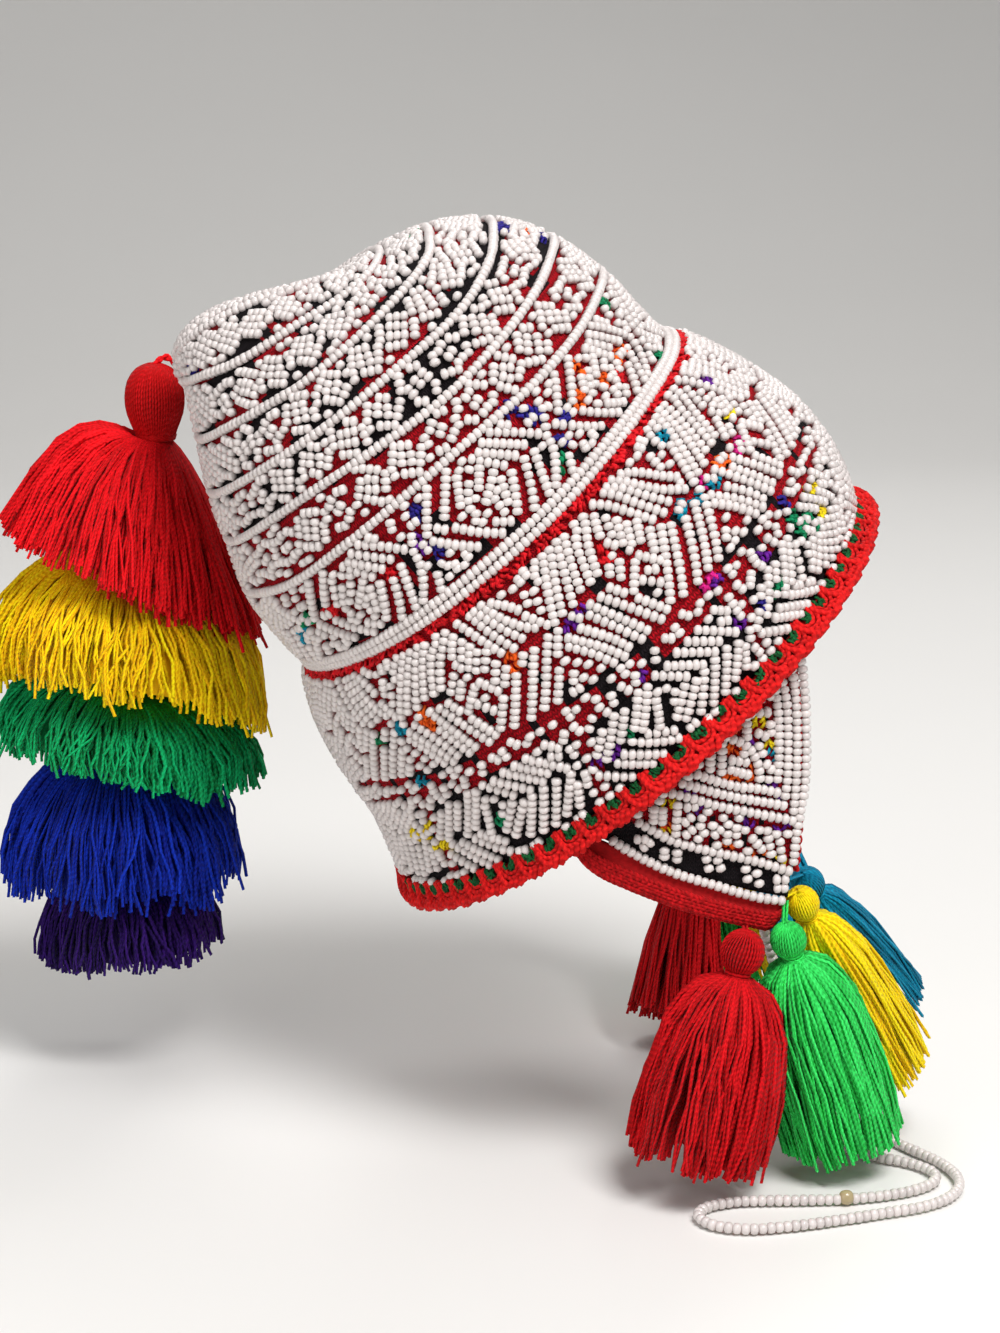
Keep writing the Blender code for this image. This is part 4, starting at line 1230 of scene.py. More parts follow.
@made_once("materials")
def knit_material(name, red, black, stitches_across, stitch_rows):
    """Fine knitting: V stitches as bump along the wall's own UV map, coloured by its chart, with painted
    shade between the stitch legs and painted highlight on them.
    """
    material, shader, build = new_material(name, {"Roughness": 0.95, "Specular IOR Level": 0.2})
    where = build.add("ShaderNodeSeparateXYZ", {0: build.add("ShaderNodeUVMap", uv_map="knit")})
    across = build.math("MULTIPLY", where.outputs[0], stitches_across)
    upright = build.math("MULTIPLY", where.outputs[1], stitch_rows)
    side = build.math("ABSOLUTE", build.math("SUBTRACT", build.math("FRACT", across), 0.5))

    def hump(value):
        return build.math("SINE", build.math("MULTIPLY", build.math("FRACT", value), math.pi))

    leg = hump(build.math("ADD", upright, side))
    gap = hump(build.math("MULTIPLY", side, 2.0))
    height = build.math("MULTIPLY", leg, build.math("POWER", gap, 0.5))
    mix = build.add("ShaderNodeMix", data_type="RGBA", inputs={
        "Factor": build.attribute("chart"), "A": (*black, 1.0), "B": (*red, 1.0),
    })
    # The stitch height also scales the colour: painted shade in the gaps between the legs and painted
    # highlight on their tops
    share = build.math("MULTIPLY_ADD", height, 0.95, 0.35)
    build.feed(shader.inputs["Base Color"], shaded_colour(build, mix.outputs["Result"], share))
    add_bump(build, shader, height, 0.8, 0.0007)
    return material


def is_red_ground(row, angle):
    """Whether the knitting there is red: plain bands and the ground of some figures; else black."""
    cell_turn = 360.0 / CELLS_ROUND
    for cell in CELLS:
        low = line_row(cell.low, angle)
        high = line_row(cell.high, angle)
        if not low <= row <= high:
            continue
        x = ((angle - cell.angle + cell_turn / 2) % cell_turn - cell_turn / 2) / cell_turn * cell.width
        y = (row - low) / (high - low) * cell.height
        patched = any(
            abs(x - middle_x) < width / 2 and abs(y - middle_y) < height / 2
            for middle_x, middle_y, width, height in cell.patches
        )
        return cell.red_ground != patched
    if row < line_row("line_four", angle) - 0.08 or row > line_row("crest_low", angle):
        return True
    # The upper field is mixed: red and black in slanting patches
    wave = math.sin(math.radians(5 * angle + 300 * row)) + 0.4 * math.sin(math.radians(37 * angle))
    return wave > 0.35 if abs(angle) < 115 else wave > 0.0


def knit_wall(name, rows, angles, low, high, top):
    """Closed knitted wall of the crown, with a UV map and a chart of red and black stitches."""
    outer = [high * step / rows for step in range(rows, -1, -1)]
    inner_rows = 14
    inner = [top * step / inner_rows for step in range(inner_rows + 1)]
    places = [(row, low) for row in outer] + [(row, CROWN_WALL) for row in inner]
    turns = [360.0 * side / angles - 180.0 for side in range(angles)]
    mesh = plain_mesh(name, [[crown_point(row, angle, inset) for angle in turns] for row, inset in places])
    uv = mesh.uv_layers.new(name="knit")
    values = []
    for face in mesh.polygons:
        ring = min(face.vertices) // angles
        if len(face.vertices) != 4 or ring >= len(places) - 1:
            values.append(1.0)
            continue
        row = (places[ring][0] + places[ring + 1][0]) / 2
        columns = [vertex % angles for vertex in face.vertices]
        wraps = max(columns) - min(columns) > 1
        for loop, vertex, column in zip(face.loop_indices, face.vertices, columns):
            if wraps and column == 0:
                column = angles
            uv.data[loop].uv = (column / angles, places[vertex // angles][0] / high)
        side = max(columns) if wraps else min(columns)
        # The inside shows carried red yarn with the black behind it
        outside = ring < rows
        values.append(float(is_red_ground(row, turns[side] + 180.0 / angles)) if outside else INSIDE_RED)
    store(mesh, "chart", values, "FACE")
    return mesh


def wool_stitches(yarns, surface, wools, chance, sign=1.0):
    """Tufts of coloured wool: short stitches in each listed patch, on the far side for sign -1."""
    for wool in wools:
        spot = (wool.row, sign * wool.angle)
        right, up = surface.axes(spot)
        for _ in range(max(4, round(wool.width * wool.height / 1.7))):
            x = chance.uniform(-0.5, 0.5) * wool.width
            y = chance.uniform(-0.5, 0.5) * wool.height
            lean = chance.choice((-1, 1)) * 0.6
            middle = moved(surface, spot, x * right + y * up)
            start = surface.point(moved(surface, middle, -lean * right - 0.9 * up), 2.3)
            end = surface.point(moved(surface, middle, lean * right + 0.9 * up), 2.3)
            top = surface.point(middle, 0.5)
            points = [start, start.lerp(top, 0.8), end.lerp(top, 0.8), end]
            yarns[wool.colour].strand(points, 1.0, chance.random())


class CHULLO_OT_crown_ground(Operator):
    """Knit the crown's wall under the beads"""

    bl_idname = "chullo.crown_ground"
    bl_label = "Knit crown"

    def execute(self, context):
        wool = context.scene.chullo_wool
        mesh = knit_wall("crown_knitting", 120, 220, 2.2, TIP_ROW, CAVITY_TOP_ROW)
        material = knit_material("crown_knit", wool.knit_red, wool.knit_black, 300, 150)
        finish_piece(show(mesh, material), "knit_ground", "crown")
        return {"FINISHED"}


class CHULLO_OT_crown_beads(Operator):
    """String the seed beads over the crown"""

    bl_idname = "chullo.crown_beads"
    bl_label = "Bead crown"

    def execute(self, context):
        beads = context.scene.chullo_beads
        field = lay_crown_beads(beads)
        form = bead_form("seed_bead", SEED_BEAD_PROFILE, 6)
        material = glass_material("white_glass", beads.white)
        groups = {
            "crown_low_beads_near": lambda row, angle: row < 4.7 and angle >= 0,
            "crown_low_beads_far": lambda row, angle: row < 4.7 and angle < 0,
            "crown_middle_beads": lambda row, angle: 4.7 <= row < 7.3,
            "crown_high_beads": lambda row, angle: row >= 7.3,
        }
        for seed, (name, chosen) in enumerate(groups.items()):
            picked = [index for index, spot in enumerate(field.spots) if chosen(*spot)]
            places = [field.places[index] for index in picked]
            threads = [field.threads[index] for index in picked]
            string_beads(name, places, threads, form, seed_bead_sizes(beads), beads.seed + seed, material)
        return {"FINISHED"}


class CHULLO_OT_wool_stitches(Operator):
    """Work the coloured wool that shows between the beads"""

    bl_idname = "chullo.wool_stitches"
    bl_label = "Coloured stitches"

    def execute(self, context):
        wool = context.scene.chullo_wool
        chance = random.Random(STITCH_SEED)
        yarns = {name: Yarn() for name in WOOL_COLOURS}
        crown = CrownSurface()
        for angle in range(-178, 180, 4):
            # Raised red stitches roughen the plain stripe under the double line
            row = line_row("main_band_top", angle) * 0.5 + line_row("double_lower", angle) * 0.5
            wool_stitches(yarns, crown, (Wool(row, angle, "red", 4.5, 4.5),), chance)
        wool_stitches(yarns, crown, CROWN_WOOL, chance)
        wool_stitches(yarns, crown, CROWN_WOOL, chance, -1.0)
        flap = FlapSurface()
        for sign in (1.0, -1.0):
            for colour, part in flap_wool_strands(flap, chance):
                yarns[colour].strand([mirrored(point, sign) for point in part], 1.0, chance.random())
        for name, yarn in yarns.items():
            material = yarn_material(f"{name}_stitches", linear(WOOL_COLOURS[name]), wool.ply_pitch)
            yarn.spin(f"{name}_stitches", STITCH_WIDTH, 3, material, "knit_ground")
        return {"FINISHED"}


def flap_wool_strands(flap, chance):
    """Short stitches inside each patch of the near flap."""
    strands = []
    for wool in FLAP_WOOL:
        for _ in range(max(3, round(wool.width * wool.height / 2.0))):
            x = wool.row + chance.uniform(-0.5, 0.5) * wool.width
            z = wool.angle + chance.uniform(-0.5, 0.5) * wool.height
            lean = chance.choice((-0.6, 0.6))
            start = flap.point((x - lean, z - 0.9), 1.2)
            end = flap.point((x + lean, z + 0.9), 1.2)
            top = flap.point((x, z), 0.2)
            strands.append((wool.colour, [start, start.lerp(top, 0.8), end.lerp(top, 0.8), end]))
    return strands


def brim_frame(angle):
    """Edge point of the brim, the way out across its rim and the way down from it."""
    edge = crown_point(0.0, angle)
    outward = (edge - crown_point(0.0, angle, CROWN_WALL)).normalized()
    around = crown_point(0.0, angle + 1.0) - crown_point(0.0, angle - 1.0)
    down = outward.cross(around).normalized()
    if down.dot(CROWN_AXIS) > 0:
        down = -down
    return edge, outward, down


def trim_point(angle, down_by, out_by):
    """Point of the edging: so far down from the brim and out from its skin."""
    edge, outward, down = brim_frame(angle)
    if down_by > 0:
        down_by *= TRIM_GATHER
    flare = (down + TRIM_FLARE * outward).normalized() if down_by > 0 else down
    bend = TRIM_PROUD * max(0.0, (down_by - TRIM_WIDTH / 2) / (TRIM_WIDTH / 2))
    return edge + down_by * flare + (out_by - bend) * outward


def trim_strand(yarn, angle, step, places, thickness, chance):
    """A strand of the edging through places: steps round, way down and way out of each."""
    points = [trim_point(angle + step * ahead, down_by, out_by) for ahead, down_by, out_by in places]
    yarn.strand(points, thickness, chance.random())


class CHULLO_OT_brim_trim(Operator):
    """Crochet the edging round the opening"""

    bl_idname = "chullo.brim_trim"
    bl_label = "Crochet edging"

    def execute(self, context):
        wool = context.scene.chullo_wool
        chance = random.Random(TRIM_SEED)
        red = yarn_material("trim_yarn", wool.trim, wool.ply_pitch, 0.6, 0.4)
        green = yarn_material("trim_green_yarn", wool.trim_green, wool.ply_pitch, 0.6, 0.6)
        loops = Yarn()
        tufts = Yarn()
        step = 360.0 / TRIM_HOLES
        for index in range(TRIM_HOLES):
            angle = TRIM_FIRST_HOLE + index * step
            self.wrap_hole(loops, angle, step, chance)
            self.wrap_edge(loops, angle, step, chance)
            # A tuft of green loops fills the hole
            for _ in range(9):
                place = angle + chance.uniform(-0.26, 0.26) * step
                drop = chance.uniform(-0.6, 2.0)
                lean = chance.uniform(-0.1, 0.1) * step
                trim_strand(tufts, place, lean, (
                    (-1.0, drop - 1.0, -0.9), (-0.6, drop - 0.6, 0.1),
                    (0.6, drop + 0.6, 0.1), (1.0, drop + 1.0, -0.9),
                ), 0.8, chance)
        loops.spin("brim_trim_crochet", wool.crochet, 5, red, "red_crochet")
        tufts.spin("brim_trim_green", TUFT_WIDTH, 3, green, "red_crochet")
        finish_piece(show(self.make_backing(), red), "red_crochet", "brim_trim")
        return {"FINISHED"}

    def wrap_hole(self, loops, angle, step, chance):
        """Doubled yarn from the beads round the outer side of one hole and back."""
        for depth, width, out_by in ((0.0, 0.36, 0.2), (1.5, 0.5, 0.9)):
            bow = []
            for part in range(11):
                turn = math.pi * (part / 10 - 0.5)
                bow.append(trim_point(
                    angle + width * step * math.sin(turn) + chance.uniform(-0.03, 0.03) * step,
                    -2.0 + (5.1 + depth) * max(0.0, math.cos(turn)) ** 0.55,
                    out_by * max(0.0, math.cos(turn)) ** 0.4 + chance.uniform(-0.1, 0.1) - 0.5,
                ))
            loops.strand(bow, 0.72, chance.random())
        # A leg between this hole and the next dips under the beads and lies over both bows
        foot = angle + step / 2 + chance.uniform(-0.08, 0.08) * step
        trim_strand(loops, foot, step, (
            (0.06, -1.9, -1.2), (0.0, -0.6, 0.0), (0.0, 1.4, 0.5),
            (-0.08, 3.6, 1.0), (-0.2, 5.4, 1.3), (-0.36, 6.9, 0.6),
        ), 0.8, chance)

    def wrap_edge(self, loops, angle, step, chance):
        """Slanting stitches over the outer edge, from the front of the wall to its back."""
        swell = 1.2 + chance.uniform(-0.2, 0.3)
        for number, bump in enumerate((0.3, 1.0, 0.9, 0.1)):
            start = angle + (number / 4 - 0.62) * step + chance.uniform(-0.04, 0.04) * step
            lip = TRIM_WIDTH - 1.2 + swell * bump
            trim_strand(loops, start, step, (
                (0.0, 4.9, 0.3), (0.06, 5.8, 1.2), (0.22, lip - 0.5, 1.1), (0.36, lip, -0.3),
                (0.5, lip - 0.5, -1.9), (0.6, 5.6, -3.1), (0.66, 4.6, -3.0),
            ), 0.92, chance)

    def make_backing(self):
        """Closed strip of dense crochet behind the loops; with no shade attribute it takes the yarn's dark
        colour, painted shade behind the loops.
        """
        rings = []
        steps = 4 * TRIM_HOLES
        lip = TRIM_WIDTH - 1.8
        for step in range(steps):
            angle = TRIM_FIRST_HOLE + 360.0 * step / steps
            dent = 0.5 * max(0.0, 1.0 - 0.5 * (step % 4))
            rings.append([trim_point(angle, down_by, out_by) for down_by, out_by in (
                (0.45, -CROWN_WALL), (0.45, -0.8), (lip / 2, -0.6 - dent), (lip, -0.2),
                (lip, -TRIM_LIP_THICKNESS), (lip / 2, -CROWN_WALL),
            )])
        return plain_mesh("brim_trim_backing", rings, close_ends=False, close_rings=True)


class CHULLO_OT_ear_flaps(Operator):
    """Knit and bead both ear flaps"""

    bl_idname = "chullo.ear_flaps"
    bl_label = "Ear flaps"

    def execute(self, context):
        beads = context.scene.chullo_beads
        wool = context.scene.chullo_wool
        field = lay_flap_beads(beads)
        form = bead_form("flap_bead", SEED_BEAD_PROFILE, 6)
        glass = glass_material("white_glass", beads.white)
        knit = knit_material("flap_knit", wool.knit_red, wool.knit_black, 70, 70)
        for side, sign in SIDES.items():
            finish_piece(show(self.make_sheet(side, sign), knit), "knit_ground", f"{side}_ear_flap")
            places = [mirrored(place, sign) for place in field.places]
            threads = [mirrored(thread, sign) for thread in field.threads]
            sizes = seed_bead_sizes(beads)
            string_beads(f"{side}_flap_beads", places, threads, form, sizes, beads.seed + 7, glass)
        return {"FINISHED"}

    def make_sheet(self, side, sign):
        """Closed knitted sheet of the flap, just under its beads."""
        columns = 36
        parts = [-1.0, -0.5] + [step / 30 for step in range(31)]
        last = len(parts) - 1
        shape = bmesh.new()
        uv = shape.loops.layers.uv.new("knit")
        walls = []
        for inset in (1.1, FLAP_WALL):
            grid = {}
            for column in range(columns + 1):
                for row, part in enumerate(parts):
                    point = flap_point(part, column / columns) + inset * Y_AXIS
                    grid[column, row] = shape.verts.new((point.x * MM, sign * point.y * MM, point.z * MM))
            walls.append(grid)
        for wall in walls:
            for column in range(columns):
                for row in range(last):
                    corners = ((column, row), (column + 1, row), (column + 1, row + 1), (column, row + 1))
                    shape.faces.new([wall[corner] for corner in corners])
        rim = [(column, 0) for column in range(columns)] + [(columns, row) for row in range(last)]
        rim += [(column, last) for column in range(columns, 0, -1)]
        rim += [(0, row) for row in range(last, 0, -1)]
        for here, after in zip(rim, rim[1:] + rim[:1]):
            shape.faces.new((walls[0][here], walls[0][after], walls[1][after], walls[1][here]))
        bmesh.ops.recalc_face_normals(shape, faces=shape.faces[:])
        for face in shape.faces:
            for loop in face.loops:
                loop[uv].uv = (loop.vert.co.x / FLAP_KNIT_SPAN, loop.vert.co.z / FLAP_KNIT_SPAN)
        mesh = bpy.data.meshes.new(f"{side}_flap_knitting")
        shape.to_mesh(mesh)
        shape.free()
        mesh.shade_smooth()
        values = []
        for face in mesh.polygons:
            x = face.center.x / MM
            z = face.center.z / MM
            stripe = route_height(FLAP_BORDER_LOW, x) < z < route_height(FLAP_BORDER_TOP, x)
            mixed = math.sin(x * 1.3) + math.sin(z * 1.1) > 0.9
            values.append(0.0 if stripe or mixed else 1.0)
        store(mesh, "chart", values, "FACE")
        return mesh


class CHULLO_OT_flap_bands(Operator):
    """Work the ribbed band and the piping of each flap"""

    bl_idname = "chullo.flap_bands"
    bl_label = "Flap bands"

    def execute(self, context):
        wool = context.scene.chullo_wool
        red = yarn_material("band_yarn", wool.band, wool.ply_pitch, 0.5, 0.4)
        for side, sign in SIDES.items():
            chains = self.make_chains(sign)
            chains.spin(f"{side}_flap_band_chains", wool.crochet, 5, red, "red_crochet", f"{side}_flap_band")
            finish_piece(show(self.make_core(side, sign), red), "red_crochet")
            name = f"{side}_flap_piping"
            self.make_piping(sign).spin(f"{name}_cord", wool.crochet, 6, red, "red_crochet", name)
        return {"FINISHED"}

    def make_chains(self, sign):
        """Rows of chain stitches on both faces; each stitch is two legs that open towards the heel."""
        chains = Yarn()
        chance = random.Random(BAND_SEED)
        stations = round(BAND_LENGTH / BAND_STITCH)
        for outward, drop, index, leg in itertools.product(
            (-1.0, 1.0), BAND_CHAINS, range(stations), (-1.0, 1.0),
        ):
            points = []
            for ahead, spread, proud in BAND_LEG:
                station = (index + ahead + chance.uniform(-0.1, 0.1)) / stations
                point = self.band_point(station, drop + leg * 0.66 * spread, outward, proud)
                points.append(mirrored(point, sign))
            chains.strand(points, 0.56, chance.random())
        return chains

    def band_point(self, station, drop, outward, proud):
        """Point on the band's skin: along it from tip to heel, down from its middle, on either face."""
        inside = min(max(station, 0.0), 1.0)
        along = (flap_edge_point(1.0) - flap_edge_point(0.0)).normalized()
        below = along.cross(Y_AXIS).normalized()
        # The tip's corner is rounded, the heel tapers, and the upper half is a thin recessed strip
        rounding = max(0.0, 1.0 - inside / 0.06, 1.0 - (1.0 - inside) / BAND_TAPER)
        size = math.sqrt(max(0.05, 1.0 - 0.95 * rounding ** 2))
        reach = drop * size / (BAND_WIDTH / 2)
        thick = ramp(reach, (-1.0, -0.35, 0.0, 0.7, 1.0), (0.35, 0.5, 0.95, 0.95, 0.35)) * BAND_THICKNESS / 2
        lower_by = BAND_DROP - (1.0 - size) * (BAND_WIDTH / 2 - 0.6) + drop * size
        point = flap_edge_point(BAND_REACH * inside) + lower_by * below + FLAP_WALL / 2 * Y_AXIS
        return point + outward * (thick * size + proud) * Y_AXIS

    def make_core(self, side, sign):
        """Closed knitted body of the band under its chains; with no shade attribute it takes the yarn's dark
        colour, painted shade under the chains.
        """
        rings = []
        drops = [BAND_WIDTH / 2 * (step / 6 - 1.0) * 0.98 for step in range(13)]
        for index in range(41):
            ring = [self.band_point(index / 40, drop, -1.0, -0.3) for drop in drops]
            ring += [self.band_point(index / 40, drop, 1.0, -0.3) for drop in reversed(drops)]
            rings.append([mirrored(point, sign) for point in ring])
        return plain_mesh(f"{side}_flap_band_core", rings)

    def make_piping(self, sign):
        """Two plies twisted along the flap's front edge."""
        cord = Yarn()
        base = flap_point(0.0, 0.0)
        points = [base.lerp(flap_point(0.25, 0.0), 0.2)]
        points += [flap_point(part / 20, 0.0) for part in range(3, 19)]
        ahead = Vector((PIPING_DIAMETER / 2 + 0.3, FLAP_WALL / 2, 0.0))
        route = smooth_route([point + ahead for point in points], 0.7)
        for phase in (0.0, math.pi):
            ply = twisted(route, phase, 0.75, 0.55, X_AXIS, Y_AXIS)
            cord.strand([mirrored(point, sign) for point in ply], 0.62, 0.4 + phase / 10)
        return cord


def hang_point(axis_start, axis_end, first, second, part, reach, turn):
    """Point of a tassel about its axis."""
    return axis_start.lerp(axis_end, part) + reach * (math.cos(turn) * first + math.sin(turn) * second)


class CHULLO_OT_flap_tassels(Operator):
    """Tie the four tassels of each flap"""

    bl_idname = "chullo.flap_tassels"
    bl_label = "Flap tassels"

    def execute(self, context):
        wool = context.scene.chullo_wool
        for number, row in enumerate(TASSELS):
            slot = f"{row.colour.removeprefix('flap_')}_wool"
            # Yellow wool gets less painted shade between its plies, so that its crevices don't turn olive
            painted_shade_depth = 0.9 if row.colour == "flap_yellow" else 0.6
            colour = getattr(wool, row.colour)
            material = yarn_material(f"{row.colour}_yarn", colour, wool.ply_pitch, painted_shade_depth=painted_shade_depth)
            yarn = self.tie(row, random.Random(FLAP_TASSEL_SEED + number))
            yarn.spin(f"{row.name}_tassel_yarn", wool.strand, 3, material, slot, f"{row.name}_tassel")
            finish_piece(show(self.ball(row), material), slot)
        return {"FINISHED"}

    def places(self, row):
        """Head, neck and hem centres with the head's axis and two directions across it."""
        head = Vector(row.head)
        hem = head.lerp(Vector(row.hem), TASSEL_LENGTH_SHARE)
        down = (hem - head).normalized()
        neck = head + 1.15 * row.head_radius * down
        first = down.cross(Y_AXIS).normalized()
        second = down.cross(first).normalized()
        return head, neck, hem, down, first, second

    def head_rows(self, row):
        """Height down the axis and radius of the wound head, from its top to the neck."""
        rows = []
        for step in range(11):
            turn = math.pi * (0.05 + 0.79 * step / 10)
            rows.append((-math.cos(turn) * row.head_radius, math.sin(turn) * row.head_radius))
        return rows + [(1.15 * row.head_radius, 0.5 * row.head_radius)]

    def ball(self, row):
        """Closed core of the wound head; with no shade attribute it takes the yarn's dark colour, painted
        shade under the head's yarns.
        """
        head, _, _, down, first, second = self.places(row)
        rings = []
        for height, radius in self.head_rows(row):
            rings.append([
                hang_point(head, head + down, first, second, 0.92 * height, 0.86 * radius, turn)
                for turn in [math.pi * side / 10 for side in range(20)]
            ])
        return plain_mesh(f"{row.name}_tassel_ball", rings)

    def tie(self, row, chance):
        """Skirt, wound head, turns round the neck and the tie, as one lot of yarn."""
        head, neck, hem, down, first, second = self.places(row)
        yarn = Yarn()
        locks = [
            (chance.uniform(-0.2, 0.2), chance.gauss(0.0, 0.02), chance.uniform(-0.08, 0.05))
            for _ in range(TASSEL_LOCKS)
        ]
        for index in range(row.strands):
            turn = 2 * math.pi * index * GOLDEN_SHARE
            lock = int(turn / (2 * math.pi) * TASSEL_LOCKS) % TASSEL_LOCKS
            twist, longer, wider = locks[lock]
            share = math.sqrt(chance.uniform(0.1, 1.0)) if index % 3 else chance.uniform(0.88, 1.0)
            stray = chance.random() < 0.03
            length = 1.0 + longer + chance.gauss(0.0, 0.015) + (0.03 if stray else 0.0)
            to_lock = math.remainder(2 * math.pi * (lock + 0.5) / TASSEL_LOCKS - turn, 2 * math.pi)
            cross = chance.gauss(0.0, 0.13)
            ripple = chance.uniform(0.0, 6.3)
            points = []
            for part in STRAND_PARTS:
                quick = ramp(part, SKIRT_PARTS, SKIRT_RADII)
                spread = quick * (1.0 - row.slow) + (0.24 + 0.76 * part) * row.slow
                reach = row.hem_radius * spread * share * (1.0 + wider * part)
                reach += 0.5 * math.sin(9 * part + ripple) + (2.5 * part if stray else 0.0)
                swing = turn + part * (0.3 * to_lock + twist + cross) + 0.035 * math.sin(11 * part + ripple)
                points.append(hang_point(neck, hem, first, second, part * length, reach, swing))
            yarn.strand(points, chance.uniform(0.9, 1.1), chance.random(), 0.9)
        self.wind_head(row, yarn, chance)
        return yarn

    def wind_head(self, row, yarn, chance):
        """Upright yarns over the head, gathered at the neck by three turns, and the two of the tie."""
        head, neck, _, down, first, second = self.places(row)
        for index in range(HEAD_YARNS):
            turn = 2 * math.pi * index / HEAD_YARNS
            yarn.strand([
                hang_point(head, head + down, first, second, height, 0.93 * radius, turn + 0.02 * height)
                for height, radius in self.head_rows(row)
            ], 0.68, chance.uniform(0.2, 0.6))
        for step in range(3):
            yarn.strand([
                hang_point(neck, neck + down, first, second, step - 1.4, 0.56 * row.head_radius, turn)
                for turn in [math.pi * part / 7 for part in range(15)]
            ], 0.8, chance.random())
        tie = Vector(row.tie)
        top = head - 0.85 * row.head_radius * down
        for offset in (-0.5, 0.5):
            yarn.strand([tie + offset * X_AXIS, tie.lerp(top, 0.5) + offset * first, top + offset * first,
                         head - 0.4 * row.head_radius * down], 0.9, 0.5)


class CHULLO_OT_peak_tassel(Operator):
    """Tie the large tassel of five tiers at the peak"""

    bl_idname = "chullo.peak_tassel"
    bl_label = "Peak tassel"

    def execute(self, context):
        wool = context.scene.chullo_wool
        for number, row in enumerate(TIERS):
            slot = f"{row.name}_wool"
            # Yellow wool gets less painted shade between its plies, so that its crevices don't turn olive
            painted_shade_depth = 0.85 if row.name == "yellow" else 0.55
            material = yarn_material(f"{row.name}_yarn", getattr(wool, row.name), wool.ply_pitch, painted_shade_depth=painted_shade_depth)
            yarn = self.skirt(row, random.Random(PEAK_TASSEL_SEED + number))
            yarn.spin(f"peak_{row.name}_yarn", wool.strand, 3, material, slot, f"peak_{row.name}_skirt")
            finish_piece(show(self.core(row), material), slot)
        red = yarn_material("red_yarn", wool.red, wool.ply_pitch)
        self.head().spin("peak_head_yarn", wool.strand, 5, red, "red_wool", "peak_head")
        # The head's ball has no shade attribute, so it takes the yarn's dark colour: painted shade under the
        # head's yarns
        turns = [math.pi * side / 12 for side in range(24)]
        rings = [[self.head_point(step / 12, 0.88, turn) for turn in turns] for step in range(13)]
        finish_piece(show(plain_mesh("peak_head_ball", rings), red), "red_wool")
        self.cord().spin("peak_cord_yarn", wool.strand, 6, red, "red_wool", "peak_cord")
        return {"FINISHED"}

    def place(self, row, part, turn, share, length=1.0):
        """Point of a tier: down its drop, round its axis and out by a share of its outer reach."""
        back = max(0.0, -math.cos(turn))
        lift = row.lift - row.tilt * math.cos(turn) + row.near_lift * max(0.0, -math.sin(turn))
        top = row.top + row.top_tilt * back
        height = top - (top - row.hem - lift) * part * length
        bell = (1.0 - (1.0 - part) ** BELL_FALL) ** BELL_ROUND
        if row.name == "red":
            arch = (1.0 - math.cos(turn)) / 2 * max(0.0, math.sin(math.pi * part)) ** 0.8 * share
            height += ARCH_HEIGHT * arch
            bell = part ** (0.8 + 0.3 * back)
        reach = (row.neck_radius + (row.hem_radius - row.neck_radius) * bell) * share
        centre_x = PEAK_X + row.shift + row.lean * (1.0 - part)
        return Vector((centre_x + reach * math.cos(turn), PEAK_Y + reach * math.sin(turn), height))

    def skirt(self, row, chance):
        """Strands of a tier, gathered in locks that part towards the hem."""
        yarn = Yarn()
        locks = [
            (chance.uniform(-0.09, 0.09), chance.gauss(0.0, 0.05), chance.uniform(-0.08, 0.06))
            for _ in range(TIER_LOCKS)
        ]
        for index in range(row.strands):
            turn = 2 * math.pi * index * GOLDEN_SHARE
            lock = int(turn / (2 * math.pi) * TIER_LOCKS + chance.uniform(-0.2, 0.2)) % TIER_LOCKS
            to_lock = math.remainder(2 * math.pi * (lock + 0.5) / TIER_LOCKS - turn, 2 * math.pi)
            twist, longer, wider = locks[lock]
            share = chance.uniform(0.94, 1.02) if index % 5 < 3 else chance.uniform(0.75, 0.94)
            stray = chance.random() < 0.02
            length = 1.0 + longer + chance.gauss(0.0, 0.04) + (0.08 if stray else 0.0)
            cross = chance.gauss(0.0, 0.11)
            ripple = chance.uniform(0.0, 6.3)
            points = []
            for part in STRAND_PARTS:
                swing = turn + part * (0.28 * to_lock + twist + cross) + 0.02 * math.sin(11 * part + ripple)
                out = 1.0 - (1.0 - share) * min(1.0, 4 * part) + wider * part
                out += (0.1 * part if stray else 0.0) + 0.018 * math.sin(9 * part + ripple)
                points.append(self.place(row, part, swing, out, length))
            yarn.strand(points, chance.uniform(0.9, 1.15), chance.random(), 0.9)
        return yarn

    def core(self, row):
        """Plain inner bell that keeps the tier from being seen through; with no shade attribute it takes the
        yarn's dark colour, painted shade inside the tier.
        """
        turns = [math.pi * side / 16 for side in range(32)]
        rings = [
            [self.place(row, part, turn, 0.85) - 0.8 * Z_AXIS for turn in turns]
            for part in (0.0, 0.1, 0.18, 0.26, 0.4, 0.6, 0.75, 0.91)
        ]
        return plain_mesh(f"peak_{row.name}_core", rings)

    def head_point(self, part, radius_share, turn):
        """Point of the wound head: part runs 0 at its top to 1 at its neck."""
        place = (len(PEAK_HEAD_ROWS) - 1) * part
        height, radius = (spline_value(column, place) for column in zip(*PEAK_HEAD_ROWS))
        radius *= radius_share
        return Vector((PEAK_HEAD_X + radius * math.cos(turn), PEAK_HEAD_Y + radius * math.sin(turn), height))

    def head(self):
        """Upright yarns of the wound head and the turns round its neck."""
        yarn = Yarn()
        chance = random.Random(PEAK_HEAD_SEED)
        # Shades below zero make the wound head's yarns and neck turns darker than the red tier: painted
        # shade
        for index in range(PEAK_HEAD_YARNS):
            turn = 2 * math.pi * index / PEAK_HEAD_YARNS
            yarn.strand([self.head_point(step / 12, 0.95, turn) for step in range(13)],
                        0.68, chance.uniform(-0.6, -0.1))
        for step in range(5):
            part = 1.0 - 0.02 * step
            yarn.strand([self.head_point(part, 1.0, math.pi * side / 10) for side in range(21)],
                        0.7, chance.uniform(-0.6, -0.2))
        return yarn

